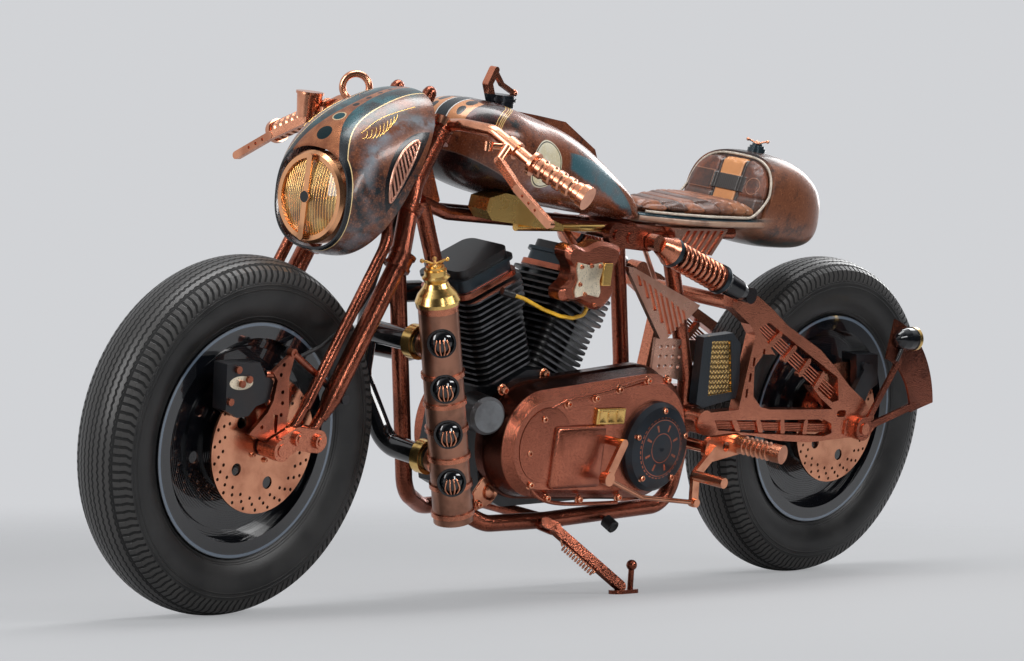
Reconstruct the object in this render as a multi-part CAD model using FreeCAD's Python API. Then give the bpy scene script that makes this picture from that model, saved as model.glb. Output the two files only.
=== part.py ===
import FreeCAD, Part
import functools
import math
import os

V = FreeCAD.Vector

# Lengths are in millimetres. The motorcycle is drawn upright, with X to the rear, Y to the
# rider's right and Z up, and X zero midway between the axles. It is then leaned over onto
# its side stand.

# Driving dimensions
wheelbase = 1733.0
tyre_radius = 345.0
tyre_half_width = 68.5
flange_radius = 226.0
flange_half_width = 53.0
lean_deg = 9.78
rake_deg = 28.0
running_clearance = 0.05
seam_gap = 0.3
overrun = 4.0

front_axle_x = -wheelbase / 2
rear_axle_x = wheelbase / 2
axle_height = tyre_radius

# The place of the leaned motorcycle over its origin
place_x = 0.0
place_y = 146.4
place_z = 1.3

X_AXIS = V(1, 0, 0)
Y_AXIS = V(0, 1, 0)
Z_AXIS = V(0, 0, 1)
ORIGIN = V(0, 0, 0)
SIDES = (-1, 1)
full_turn_deg = 360.0
quarter_turn_deg = 90.0
# How many times a part's own size a block is that cuts one side of it away
cutter_times = 4.0

# Steering axis: it runs through the rocker pivots, tilted back by the rake
trail_reach = 99.5
pivot_rise = 13.0
STEER_BASE = V(front_axle_x + trail_reach, 0, axle_height + pivot_rise)
STEER_UP = V(math.sin(math.radians(rake_deg)), 0, math.cos(math.radians(rake_deg)))
STEER_AHEAD = V(-math.cos(math.radians(rake_deg)), 0, math.sin(math.radians(rake_deg)))


def on_fork(up, ahead, across):
    """A point given along the fork, ahead of the steering axis and across the wheel."""
    return STEER_BASE + STEER_UP * up + STEER_AHEAD * ahead + Y_AXIS * across


def rod(start, end, radius):
    """A round bar between two points."""
    run = end - start
    return Part.makeCylinder(radius, run.Length, start, run)


def disc(centre, direction, radius, thick):
    """A flat disc whose middle plane passes through its centre."""
    direction = V(direction).normalize()
    return Part.makeCylinder(radius, thick, centre - direction * (thick / 2), direction)


def ring(centre, direction, outer, inner, thick):
    """A flat ring whose middle plane passes through its centre."""
    return disc(centre, direction, outer, thick).cut(disc(centre, direction, inner, thick + overrun))


def flipped(point, side):
    """A point given for the rider's right, on either side."""
    return V(point.x, side * point.y, point.z)


def joined(shapes):
    """Several overlapping shapes as one solid."""
    return shapes[0].fuse(shapes[1:]).removeSplitter()


def spread(centre, direction, radius, count, start_share=0.0):
    """Places evenly round a centre, in the plane across a direction."""
    direction = V(direction).normalize()
    first = direction.cross(Z_AXIS)
    if first.Length < math.sin(math.radians(1)):
        first = X_AXIS
    first = V(first).normalize()
    second = direction.cross(first)
    places = []
    for step in range(count):
        turn = 2 * math.pi * (step + start_share) / count
        places.append(centre + first * (radius * math.cos(turn)) + second * (radius * math.sin(turn)))
    return places


# The share of its shorter run that a corner's arc takes at most
corner_reach_share = 0.45
# Half the angle of a corner so flat that it stays a plain point
flat_corner_deg = 89.0


def rounded_path(points, bend):
    """Straight runs joined by tangent arcs of one bend radius."""
    edges = []
    last = points[0]
    for before, corner, after in zip(points, points[1:], points[2:]):
        back = (before - corner).normalize()
        forth = (after - corner).normalize()
        half = back.getAngle(forth) / 2
        if half > math.radians(flat_corner_deg):
            continue
        limit = corner_reach_share * min((before - corner).Length, (after - corner).Length)
        reach = min(bend / math.tan(half), limit)
        radius = reach * math.tan(half)
        middle = (back + forth).normalize()
        centre = corner + middle * (radius / math.sin(half))
        end = corner + forth * reach
        edges.append(Part.makeLine(last, corner + back * reach))
        edges.append(Part.Arc(corner + back * reach, centre - middle * radius, end).toShape())
        last = end
    edges.append(Part.makeLine(last, points[-1]))
    return Part.Wire(edges)


def bent_tube(points, radius, bend):
    """A round tube along a rounded path."""
    profile = Part.Wire([Part.makeCircle(radius, points[0], points[1] - points[0])])
    return rounded_path(points, bend).makePipeShell([profile], True, False)


def side_plate(outline, y_low, y_high):
    """A plate cut from an outline of (x, z) points, between two planes across the bike."""
    corners = [V(x, y_low, z) for x, z in outline]
    face = Part.Face(Part.makePolygon(corners + [corners[0]]))
    return face.extrude(Y_AXIS * (y_high - y_low))


def scaled(shares, x_at, z_at, long, high):
    """Outline points from shares of a length and a height."""
    return [(x_at + a * long, z_at + b * high) for a, b in shares]


def curved_outline(points, y_at):
    """A closed smooth curve through (x, z) points in a side plane."""
    curve = Part.BSplineCurve()
    curve.interpolate([V(x, y_at, z) for x, z in points], True)
    return Part.Wire([curve.toShape()])


def two_circle_outline(first, first_radius, second, second_radius, y_at):
    """The outline of a band drawn tight round two circles in a side plane."""
    gap = second - first
    across = math.atan2(gap.z, gap.x)
    lean = math.acos((first_radius - second_radius) / math.hypot(gap.x, gap.z))
    points = []
    for centre, radius, turn in (
        (first, first_radius, across + lean),
        (first, first_radius, across + math.pi),
        (first, first_radius, across - lean),
        (second, second_radius, across - lean),
        (second, second_radius, across),
        (second, second_radius, across + lean),
    ):
        points.append(V(centre.x + radius * math.cos(turn), y_at, centre.z + radius * math.sin(turn)))
    edges = [
        Part.Arc(points[0], points[1], points[2]).toShape(),
        Part.makeLine(points[2], points[3]),
        Part.Arc(points[3], points[4], points[5]).toShape(),
        Part.makeLine(points[5], points[0]),
    ]
    return Part.Wire(edges)


def two_circle_plate(first, first_radius, second, second_radius, y_low, y_high):
    """A plate whose outline is a band drawn tight round two circles."""
    outline = two_circle_outline(first, first_radius, second, second_radius, y_low)
    return Part.Face(outline).extrude(Y_AXIS * (y_high - y_low))


def flat_bar(points, width, thick, flat_way):
    """A flat bar with round ends along a chain of points, thick along one direction."""
    side_way = V(flat_way).normalize()
    shapes = []
    for start, end in zip(points, points[1:]):
        run = end - start
        wide_way = run.cross(side_way).normalize() * (width / 2)
        base = start - side_way * (thick / 2)
        corners = [base + wide_way, base - wide_way, base - wide_way + run, base + wide_way + run]
        shapes.append(Part.Face(Part.makePolygon(corners + [corners[0]])).extrude(side_way * thick))
        shapes.append(Part.makeCylinder(width / 2, thick, base, side_way))
        shapes.append(Part.makeCylinder(width / 2, thick, base + run, side_way))
    return joined(shapes)


def turned(profile, x_at, z_at):
    """A solid turned about a line across the bike, from (radius, y) points."""
    points = [V(x_at, y, z_at + r) for r, y in profile]
    face = Part.Face(Part.makePolygon(points + [points[0]]))
    return face.revolve(V(x_at, 0, z_at), Y_AXIS, full_turn_deg)


def turned_along(start, direction, profile):
    """A solid turned about a line, from (distance along, radius) points."""
    points = [V(radius, 0, along) for along, radius in profile]
    solid = Part.Face(Part.makePolygon(points + [points[0]])).revolve(ORIGIN, Z_AXIS, full_turn_deg)
    solid.Placement = FreeCAD.Placement(start, FreeCAD.Rotation(Z_AXIS, direction))
    return solid


section_points = 24


def oval_section(x, half_width, z_low, z_high, power):
    """A closed rounded section across the bike; a higher power makes it squarer."""
    points = []
    for step in range(section_points):
        turn = 2 * math.pi * step / section_points
        c, s = math.cos(turn), math.sin(turn)
        y = half_width * math.copysign(abs(c) ** (2 / power), c)
        z = (z_low + z_high) / 2 + (z_high - z_low) / 2 * math.copysign(abs(s) ** (2 / power), s)
        points.append(V(x, y, z))
    curve = Part.BSplineCurve()
    curve.interpolate(points, True)
    return Part.Wire([curve.toShape()])


def oval_body(shares, front_x, long, half_width, low_z, high, power, wall=0.0):
    """A smooth body lofted through sections given as shares of its size."""
    sections = []
    for along, half, low, top in shares:
        sections.append(oval_section(
            front_x + long * along, half_width * half - wall,
            low_z + high * low + wall, low_z + high * top - wall, power,
        ))
    return Part.makeLoft(sections, True, False)


# Wheels

bead_radius = 212.0
bead_clearance = 0.3
sidewall_radius = 284.0
shoulder_radius = 326.0
shoulder_half_width = 58.0
flange_thickness = 6.0


def tyre(axle_x):
    """A balloon tyre: beads, bulged sidewalls and a round crown."""
    def at(radius, y):
        return V(axle_x, y, axle_height + radius)

    bead_y = flange_half_width - flange_thickness - bead_clearance
    bead_top = flange_radius + bead_clearance
    edges = []
    for side in SIDES:
        start = at(bead_top, side * bead_y)
        bulge = at(sidewall_radius, side * tyre_half_width)
        shoulder = at(shoulder_radius, side * shoulder_half_width)
        edges.append(Part.Arc(start, bulge, shoulder).toShape())
        edges.append(Part.makeLine(at(bead_radius, side * bead_y), start))
    left_shoulder = at(shoulder_radius, -shoulder_half_width)
    right_shoulder = at(shoulder_radius, shoulder_half_width)
    crown = Part.Arc(left_shoulder, at(tyre_radius, 0), right_shoulder).toShape()
    base = Part.makeLine(at(bead_radius, -bead_y), at(bead_radius, bead_y))
    outline = Part.Wire(Part.__sortEdges__(edges + [crown, base]))
    return Part.Face(outline).revolve(V(axle_x, 0, axle_height), Y_AXIS, full_turn_deg)


hub_radius = 46.0
axle_radius = 12.5
hub_half_width = 62.0
# Each step of the wheel's face: its outer radius and its height over the middle plane
disc_steps = ((70.0, 50.0), (104.0, 42.0), (140.0, 35.0), (176.0, 28.0))
disc_edge_thickness = 22.0
rim_well_radius = 196.0


def wheel_disc(axle_x, rotor_y, right_y):
    """A solid disc wheel with a stepped face, a rim and hub bosses out to its fittings."""
    bore = axle_radius + running_clearance
    half = [(bore, 0.0), (bore, hub_half_width), (hub_radius, hub_half_width)]
    inner = hub_radius
    for radius, y in disc_steps:
        half.append((inner, y))
        half.append((radius, y))
        inner = radius
    half.append((inner, disc_edge_thickness))
    half.append((rim_well_radius, disc_edge_thickness))
    half.append((rim_well_radius, flange_half_width))
    half.append((flange_radius, flange_half_width))
    half.append((flange_radius, flange_half_width - flange_thickness))
    half.append((bead_radius - bead_clearance, flange_half_width - flange_thickness))
    left = [(r, -y) for r, y in reversed(half)]
    shapes = [turned(half + left[:-1], axle_x, axle_height)]
    for side, end in ((-1, -rotor_y), (1, right_y)):
        if end > hub_half_width:
            middle = V(axle_x, side * (end + hub_half_width) / 2, axle_height)
            shapes.append(ring(middle, Y_AXIS, hub_radius, bore, end - hub_half_width))
    return joined(shapes)


rotor_radius = 131.0
rotor_thickness = 5.0
rotor_inner_radius = 20.0
front_rotor_y = -93.0
rear_rotor_y = -87.0
drill_radius = 3.4
drill_row_radii = (124.0, 113.0, 102.0)
drill_count = 24
window_radius = 12.0
window_ring_radius = 76.0
window_count = 5


def rotor(axle_x, y_at):
    """A drilled brake rotor with large round windows."""
    centre = V(axle_x, y_at, axle_height)
    plate = ring(centre, Y_AXIS, rotor_radius, rotor_inner_radius, rotor_thickness)
    holes = []
    for row, radius in enumerate(drill_row_radii):
        for place in spread(centre, Y_AXIS, radius, drill_count, row / len(drill_row_radii)):
            holes.append(disc(place, Y_AXIS, drill_radius, rotor_thickness + overrun))
    for place in spread(centre, Y_AXIS, window_ring_radius, window_count):
        holes.append(disc(place, Y_AXIS, window_radius, rotor_thickness + overrun))
    return plate.cut(holes)


sprocket_y = 114.0
sprocket_radius = 104.0
sprocket_thickness = 6.0
sprocket_tooth_count = 40
sprocket_tooth_depth = 7.0
sprocket_window_radius = 17.0
sprocket_window_ring_radius = 68.0
sprocket_window_count = 6
tooth_top_share = 0.22


def rear_sprocket():
    """The toothed driven sprocket on the right of the rear hub."""
    centre = V(rear_axle_x, sprocket_y, axle_height)
    outline = []
    for step in range(sprocket_tooth_count):
        for share, radius in (
            (0.0, sprocket_radius - sprocket_tooth_depth),
            (0.5 - tooth_top_share, sprocket_radius),
            (0.5 + tooth_top_share, sprocket_radius),
        ):
            turn = 2 * math.pi * (step + share) / sprocket_tooth_count
            outline.append((centre.x + radius * math.cos(turn), centre.z + radius * math.sin(turn)))
    plate = side_plate(outline, sprocket_y - sprocket_thickness / 2, sprocket_y + sprocket_thickness / 2)
    holes = [disc(centre, Y_AXIS, rotor_inner_radius, sprocket_thickness + overrun)]
    for place in spread(centre, Y_AXIS, sprocket_window_ring_radius, sprocket_window_count):
        holes.append(disc(place, Y_AXIS, sprocket_window_radius, sprocket_thickness + overrun))
    return plate.cut(holes)


def front_tyre():
    """The front tyre."""
    return tyre(front_axle_x)


def rear_tyre():
    """The rear tyre."""
    return tyre(rear_axle_x)


def front_wheel():
    """The front wheel, with its left boss out to the rotor."""
    return wheel_disc(front_axle_x, front_rotor_y + rotor_thickness / 2, hub_half_width)


def rear_wheel():
    """The rear wheel, with bosses out to the rotor and the sprocket."""
    return wheel_disc(rear_axle_x, rear_rotor_y + rotor_thickness / 2,
                      sprocket_y - sprocket_thickness / 2)


def front_rotor():
    """The front brake rotor."""
    return rotor(front_axle_x, front_rotor_y)


def rear_rotor():
    """The rear brake rotor."""
    return rotor(rear_axle_x, rear_rotor_y)


# Springer fork

leg_radius = 19.0
leg_y = 121.0
leg_top_y = 62.0
leg_taper_up = 44.0
leg_collar_up = 387.0
leg_bend_top_up = 545.0
leg_top_up = 690.0
leg_bend_radius = 90.0
collar_radius = 24.0
collar_thickness = 34.0
collar_lip_radius = 27.0
collar_lip_thickness = 7.0
leg_eye_radius = 25.0
leg_eye_inner_y = 104.0
leg_eye_outer_y = 125.0
leg_eye_y = (leg_eye_inner_y + leg_eye_outer_y) / 2
leg_eye_thickness = leg_eye_outer_y - leg_eye_inner_y
pivot_pin_radius = 8.0


@functools.cache
def fork_rear_legs():
    """The two thick legs, with an eye at the foot, a lipped collar and an inward bend."""
    shapes = []
    for side in SIDES:
        low = on_fork(2 * leg_taper_up, 0, side * leg_y)
        collar_at = on_fork(leg_collar_up, 0, side * leg_y)
        bend_top = on_fork(leg_bend_top_up, 0, side * leg_top_y)
        tube = bent_tube([low, collar_at, bend_top, on_fork(leg_top_up, 0, side * leg_top_y)],
                         leg_radius, leg_bend_radius)
        eye_at = on_fork(0, 0, side * leg_eye_y)
        parts = [tube, disc(eye_at, Y_AXIS, leg_eye_radius, leg_eye_thickness)]
        parts.append(rod(on_fork(leg_taper_up / 2, 0, side * leg_eye_y), low, leg_eye_thickness / 2))
        taper_at = on_fork(leg_taper_up, 0, side * leg_y)
        parts.append(Part.makeCone(leg_eye_thickness / 2, leg_radius, leg_taper_up, taper_at, STEER_UP))
        parts.append(disc(collar_at, STEER_UP, collar_radius, collar_thickness))
        for end in SIDES:
            lip_at = collar_at + STEER_UP * (end * (collar_thickness - collar_lip_thickness) / 2)
            parts.append(disc(lip_at, STEER_UP, collar_lip_radius, collar_lip_thickness))
        pin = disc(eye_at, Y_AXIS, pivot_pin_radius, leg_eye_thickness + overrun)
        shapes.append(joined(parts).cut(pin))
    return Part.makeCompound(shapes)


front_leg_radius = 11.0
front_leg_ahead = 52.0
front_leg_foot_up = -20.0
front_leg_y = 121.0
front_leg_mid_up = 400.0
front_leg_top_y = 43.0
front_leg_bend_top_up = 520.0
front_leg_top_up = 716.0
front_neck_radius = 8.8
front_neck_up = 62.0
front_eye_radius = 17.0
cap_nut_radius = 14.0
cap_nut_height = 14.0
cap_dome_radius = 13.0
spring_ring_radius = 15.5
spring_wire_radius = 3.0
spring_turns = 11


def fork_spring(side):
    """The coil spring round a thin leg, between the two yokes."""
    low = lower_yoke_up + yoke_thickness / 2 + spring_wire_radius + seam_gap
    high = upper_yoke_up - yoke_thickness / 2 - spring_wire_radius - seam_gap
    helix = Part.makeHelix((high - low) / spring_turns, high - low, spring_ring_radius)
    profile = Part.Wire([Part.makeCircle(spring_wire_radius, V(spring_ring_radius, 0, 0), Y_AXIS)])
    spring = Part.Wire(helix).makePipeShell([profile], True, True)
    foot = on_fork(low, front_leg_ahead, side * front_leg_top_y)
    spring.Placement = FreeCAD.Placement(foot, FreeCAD.Rotation(Z_AXIS, STEER_UP))
    return spring


@functools.cache
def fork_front_legs():
    """The two thin sprung legs with an eye at the foot, a spring and a domed nut on top."""
    shapes = []
    for side in SIDES:
        foot = on_fork(front_leg_foot_up + front_neck_up, front_leg_ahead, side * front_leg_y)
        points = [
            foot,
            on_fork(front_leg_mid_up, front_leg_ahead, side * front_leg_y),
            on_fork(front_leg_bend_top_up, front_leg_ahead, side * front_leg_top_y),
            on_fork(front_leg_top_up, front_leg_ahead, side * front_leg_top_y),
        ]
        eye_at = on_fork(front_leg_foot_up, front_leg_ahead, side * leg_eye_y)
        parts = [bent_tube(points, front_leg_radius, leg_bend_radius)]
        parts.append(rod(eye_at, foot + STEER_UP * front_eye_radius, front_neck_radius))
        parts.append(disc(eye_at, Y_AXIS, front_eye_radius, leg_eye_thickness))
        nut_at = points[-1] - STEER_UP * cap_nut_height
        parts.append(Part.makeCylinder(cap_nut_radius, cap_nut_height, nut_at, STEER_UP))
        parts.append(Part.makeSphere(cap_dome_radius, points[-1]))
        pin = disc(eye_at, Y_AXIS, pivot_pin_radius, leg_eye_thickness + overrun)
        shapes.append(joined(parts).cut(pin))
        shapes.append(fork_spring(side))
    return Part.makeCompound(shapes)


rocker_inner_y = 126.0
rocker_outer_y = 142.0
rocker_end_radius = 22.0
axle_end_y = 152.0
nut_radius = 14.0
nut_thickness = 8.0
axle_spacer_radius = 20.0
hub_stop_y = 101.0


@functools.cache
def fork_rockers():
    """The two leading links with their pins, nuts, spacers and the front axle."""
    axle_point = V(front_axle_x, 0, axle_height)
    front_pin = on_fork(front_leg_foot_up, front_leg_ahead, 0)
    shapes = [rod(axle_point - Y_AXIS * axle_end_y, axle_point + Y_AXIS * axle_end_y, axle_radius)]
    for side in SIDES:
        low, high = sorted((side * rocker_inner_y, side * rocker_outer_y))
        small_end = rocker_end_radius - seam_gap
        shapes.append(two_circle_plate(STEER_BASE, rocker_end_radius, front_pin, small_end, low, high))
        shapes.append(two_circle_plate(front_pin, rocker_end_radius, axle_point, small_end, low, high))
        for place in (STEER_BASE, front_pin):
            inner = V(place.x, side * leg_eye_inner_y, place.z)
            outer = V(place.x, side * axle_end_y, place.z)
            shapes.append(rod(inner, outer, pivot_pin_radius - running_clearance))
            nut_at = V(place.x, side * (rocker_outer_y + nut_thickness / 2), place.z)
            shapes.append(disc(nut_at, Y_AXIS, nut_radius, nut_thickness))
        nut_at = V(front_axle_x, side * (rocker_outer_y + nut_thickness / 2), axle_height)
        shapes.append(disc(nut_at, Y_AXIS, small_end, nut_thickness))
        spacer_at = V(front_axle_x, side * (rocker_inner_y + hub_stop_y) / 2, axle_height)
        shapes.append(disc(spacer_at, Y_AXIS, axle_spacer_radius, rocker_inner_y - hub_stop_y))
    return joined(shapes)


stem_radius = 16.0
yoke_thickness = 20.0
lower_yoke_up = 497.0
upper_yoke_up = 653.0
yoke_end_radius = 27.0
yoke_front_radius = 17.0


def leg_y_at(up):
    """How far out the thick leg's middle is at a height in its bend."""
    share = (up - leg_collar_up) / (leg_bend_top_up - leg_collar_up)
    return leg_y + (leg_top_y - leg_y) * share


def front_leg_y_at(up):
    """How far out the thin leg's middle is at a height in its bend."""
    share = (up - front_leg_mid_up) / (front_leg_bend_top_up - front_leg_mid_up)
    return front_leg_y + (front_leg_top_y - front_leg_y) * share


def yoke_bar(up, ahead_from, y_from, ahead_to, y_to, radius):
    """A flat bar of a yoke with round ends over two of its legs."""
    middle = up + yoke_thickness / 2
    ends = [on_fork(middle, ahead_from, y_from), on_fork(middle, ahead_to, y_to)]
    return flat_bar(ends, 2 * radius, yoke_thickness, STEER_UP)


@functools.cache
def fork_yokes():
    """The steering stem, the yokes that clamp the four legs and the stays of the fairing."""
    stem_top = on_fork(upper_yoke_up + yoke_thickness, 0, 0)
    shapes = [rod(on_fork(lower_yoke_up, 0, 0), stem_top, stem_radius)]
    for up, rear_y, front_y, stay_y in (
        (lower_yoke_up, leg_y_at(lower_yoke_up), front_leg_y_at(lower_yoke_up), low_stay_y),
        (upper_yoke_up, leg_top_y, front_leg_top_y, high_stay_y),
    ):
        start = up - yoke_thickness / 2
        for side in SIDES:
            shapes.append(yoke_bar(start, 0, 0, 0, side * rear_y, yoke_end_radius))
            shapes.append(yoke_bar(start, 0, side * rear_y, front_leg_ahead, side * front_y,
                                   yoke_front_radius))
        shapes.append(yoke_bar(start, front_leg_ahead, -front_y, front_leg_ahead, front_y, yoke_front_radius))
        shapes += fairing_stay(up, stay_y, front_y)
    bowl_back = V(headlight_x - bezel_lead + bowl_depth, 0, headlight_z)
    stay_middle = on_fork(lower_yoke_up, stay_ahead, 0)
    shapes.append(rod(stay_middle, bowl_back, stay_boss_radius))
    return joined(shapes).cut([fork_rear_legs(), fork_front_legs(), headlight_bezel()])


stay_radius = 6.0
stay_boss_radius = 9.0
low_stay_y = 126.4
high_stay_y = 92.6
stay_gap = 4.0
stay_ahead = front_leg_ahead + yoke_front_radius + stay_radius + stay_gap
stalk_radius = 4.6


def fairing_stay(up, half_length, front_y):
    """A cross bar ahead of a yoke whose ends meet the inside of the fairing."""
    end = on_fork(up, stay_ahead, half_length)
    shapes = [rod(flipped(end, -1), end, stay_radius)]
    for side in SIDES:
        shapes.append(rod(on_fork(up, front_leg_ahead + front_leg_radius, side * front_y),
                          on_fork(up, stay_ahead, side * front_y), stalk_radius))
    return shapes


# Handlebar and its controls

bar_radius = 12.7
bar_clamp_up = 679.0
bar_clamp_radius = 25.0
bar_clamp_thickness = 16.0
bar_bend_radius = 40.0
bar_span = 417.0
bar_sweep = 49.0
bar_drop = 92.0
# The bar's corners behind its elbow, across the bike and below the elbow
bar_shares = ((0.0, 0.300, 0.0), (0.041, 0.492, 0.0), (0.245, 0.700, 0.457), (0.918, 1.0, 1.0))
bar_elbow_x = -461.0
bar_elbow_z = 964.0
grip_radius = 17.0
grip_flange_radius = 24.0
grip_flange_thickness = 7.0
grip_length = 128.0
grip_rib_count = 5
grip_rib_height = 3.0
grip_rib_shares = ((0.0, 0), (0.25, 0), (0.4, 1), (0.85, 1))
loop_radius = 26.0
loop_wire_radius = 7.0
loop_ahead = 47.0
loop_rise = 36.0


def bar_points(side):
    """The corners of one handlebar from its elbow to its end."""
    return [V(bar_elbow_x + bar_sweep * back, side * bar_span * out, bar_elbow_z - bar_drop * down)
            for back, out, down in bar_shares]


@functools.cache
def handlebar():
    """A clip-on bar each side, clamped round its thick fork leg, with a ring on the right."""
    shapes = []
    for side in SIDES:
        eye = on_fork(bar_clamp_up, 0, side * leg_top_y)
        clamp = disc(eye, STEER_UP, bar_clamp_radius, bar_clamp_thickness)
        tube = bent_tube([eye + Y_AXIS * (side * leg_radius)] + bar_points(side), bar_radius, bar_bend_radius)
        arm = joined([clamp, tube])
        shapes.append(arm.cut(disc(eye, STEER_UP, leg_radius, bar_clamp_thickness + 2 * bar_radius)))
    elbow = bar_points(1)[0]
    centre = elbow + V(-loop_ahead, 0, loop_rise)
    loop = Part.makeTorus(loop_radius, loop_wire_radius, centre, X_AXIS + Y_AXIS)
    stalk = rod(centre - Z_AXIS * loop_radius, elbow, loop_wire_radius)
    shapes[1] = joined([shapes[1], loop, stalk])
    return Part.makeCompound(shapes)


def grip_profile():
    """The side outline of a grip: a flange at each end and raised ribs between."""
    hollow = bar_radius + running_clearance
    points = [(0, hollow), (0, grip_flange_radius), (grip_flange_thickness, grip_flange_radius)]
    pitch = (grip_length - 2 * grip_flange_thickness) / grip_rib_count
    for step in range(grip_rib_count):
        start = grip_flange_thickness + step * pitch
        for share, raised in grip_rib_shares:
            points.append((start + share * pitch, grip_radius + raised * grip_rib_height))
    points.append((grip_length - grip_flange_thickness, grip_radius))
    points.append((grip_length - grip_flange_thickness, grip_flange_radius))
    points.append((grip_length, grip_flange_radius))
    points.append((grip_length, hollow))
    return points


def grips():
    """The two ribbed metal grips, closed by an end disc."""
    shapes = []
    for side in SIDES:
        start, end = bar_points(side)[-2:]
        along = (end - start).normalize()
        grip = turned_along(end - along * grip_length, along, grip_profile())
        cap = Part.makeCylinder(grip_flange_radius, grip_flange_thickness, end, along)
        shapes.append(joined([grip, cap]))
    return Part.makeCompound(shapes)


lever_root = V(-497.0, 262.0, 916.0)
lever_tip = V(-513.0, 423.0, 820.0)
lever_thickness = 12.0
lever_height = 16.0
lever_elbow_share = 0.45
lever_elbow_ahead = 10.0
lever_slot_count = 3
lever_slot_radius = 3.0
perch_radius = 18.0
perch_thickness = 26.0
perch_back = 42.0
perch_arm_radius = 9.0
perch_arm_ahead = 15.7
mirror_boss = V(-488.0, 222.0, 938.0)
mirror_boss_radius = 10.0
mirror_boss_height = 18.0
mirror_hole_radius = 5.25
mirror_link_radius = 7.0
cup_foot = V(-485.0, 270.0, 920.0)
cup_low_radius = 21.0
cup_radius = 26.0
cup_height = 46.0
cup_lid_thickness = 5.0
cup_lid_radius = 28.0


def lever_arm(side):
    """One lever with its perch, its pierced blade and the boss for a mirror."""
    root = flipped(lever_root, side)
    tip = flipped(lever_tip, side)
    before, start = bar_points(side)[1:3]
    along = (start - before).normalize()
    clamp_at = start - along * perch_back
    clamp = ring(clamp_at, along, perch_radius, bar_radius + running_clearance, perch_thickness)
    elbow = root + (tip - root) * lever_elbow_share - X_AXIS * lever_elbow_ahead
    blade = flat_bar([root, elbow, tip], lever_height, lever_thickness, X_AXIS)
    arm = rod(clamp_at - X_AXIS * perch_arm_ahead, root, perch_arm_radius)
    boss = flipped(mirror_boss, side)
    post = disc(boss, Z_AXIS, mirror_boss_radius, mirror_boss_height)
    room = disc(clamp_at, along, perch_radius - seam_gap, perch_thickness + overrun)
    link = rod(boss, clamp_at, mirror_link_radius).cut(room)
    holes = [disc(boss, Z_AXIS, mirror_hole_radius, mirror_boss_height + overrun)]
    for step in range(lever_slot_count):
        at = elbow + (tip - elbow) * ((step + 1) / (lever_slot_count + 2))
        holes.append(disc(at, X_AXIS, lever_slot_radius, lever_thickness + overrun))
    return joined([clamp, arm, blade, post, link]).cut(holes)


def levers():
    """The clutch and brake levers, their perches and the brake fluid cup."""
    shapes = [lever_arm(side) for side in SIDES]
    cup = Part.makeCone(cup_low_radius, cup_radius, cup_height, cup_foot, Z_AXIS)
    lid = Part.makeCylinder(cup_lid_radius, cup_lid_thickness, cup_foot + Z_AXIS * cup_height, Z_AXIS)
    shapes[1] = joined([shapes[1], cup, lid])
    return Part.makeCompound(shapes).cut(handlebar())


# Nose fairing and headlight

headlight_x = STEER_BASE.x + 49.0
headlight_z = 802.0
bezel_radius = 89.0
bezel_depth = 34.0
bezel_width = 15.0
bezel_lead = 10.0
bezel_chamfer = 6.0
bezel_step = 8.0
bowl_radius = 88.0
bowl_back_radius = 34.0
bowl_depth = 90.0
lens_dome = 14.0
lens_dome_share = 0.26
guard_width = 13.0
guard_thickness = 4.0
guard_boss_radius = 12.0
guard_foot_radius = 5.5

fairing_wall = 4.0
fairing_back_ahead = 68.0
fairing_power = 2.4
fairing_front_x = headlight_x - 4.0
fairing_length = 282.0
fairing_half_width = 131.0
fairing_low_z = 692.0
fairing_height = 326.0
fairing_shares = (
    (0.0, 0.74, 0.037, 0.644),
    (0.078, 0.84, 0.012, 0.742),
    (0.22, 0.947, 0.0, 0.84),
    (0.397, 1.0, 0.025, 0.914),
    (0.574, 0.992, 0.117, 0.969),
    (0.787, 0.9, 0.3, 1.0),
    (1.0, 0.687, 0.515, 0.994),
)


def fairing_form(wall):
    """The fairing's closed form, shrunk by a wall."""
    return oval_body(fairing_shares, fairing_front_x, fairing_length, fairing_half_width,
                     fairing_low_z, fairing_height, fairing_power, wall)


def fairing():
    """A thin rounded shell round the headlight, open behind along the fork."""
    shell = fairing_form(0.0).cut(fairing_form(fairing_wall))
    size = cutter_times * fairing_half_width
    behind = Part.makeBox(size, size, 2 * size, V(0, -size / 2, -size))
    behind.Placement = FreeCAD.Placement(
        on_fork(lower_yoke_up, fairing_back_ahead, 0), FreeCAD.Rotation(Y_AXIS, rake_deg))
    return shell.cut(behind)


def about_beam(points):
    """A solid turned about the headlight's beam, from (radius, x) points."""
    corners = [V(x, 0, headlight_z + r) for r, x in points]
    face = Part.Face(Part.makePolygon(corners + [corners[0]]))
    return face.revolve(V(0, 0, headlight_z), X_AXIS, full_turn_deg)


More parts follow.
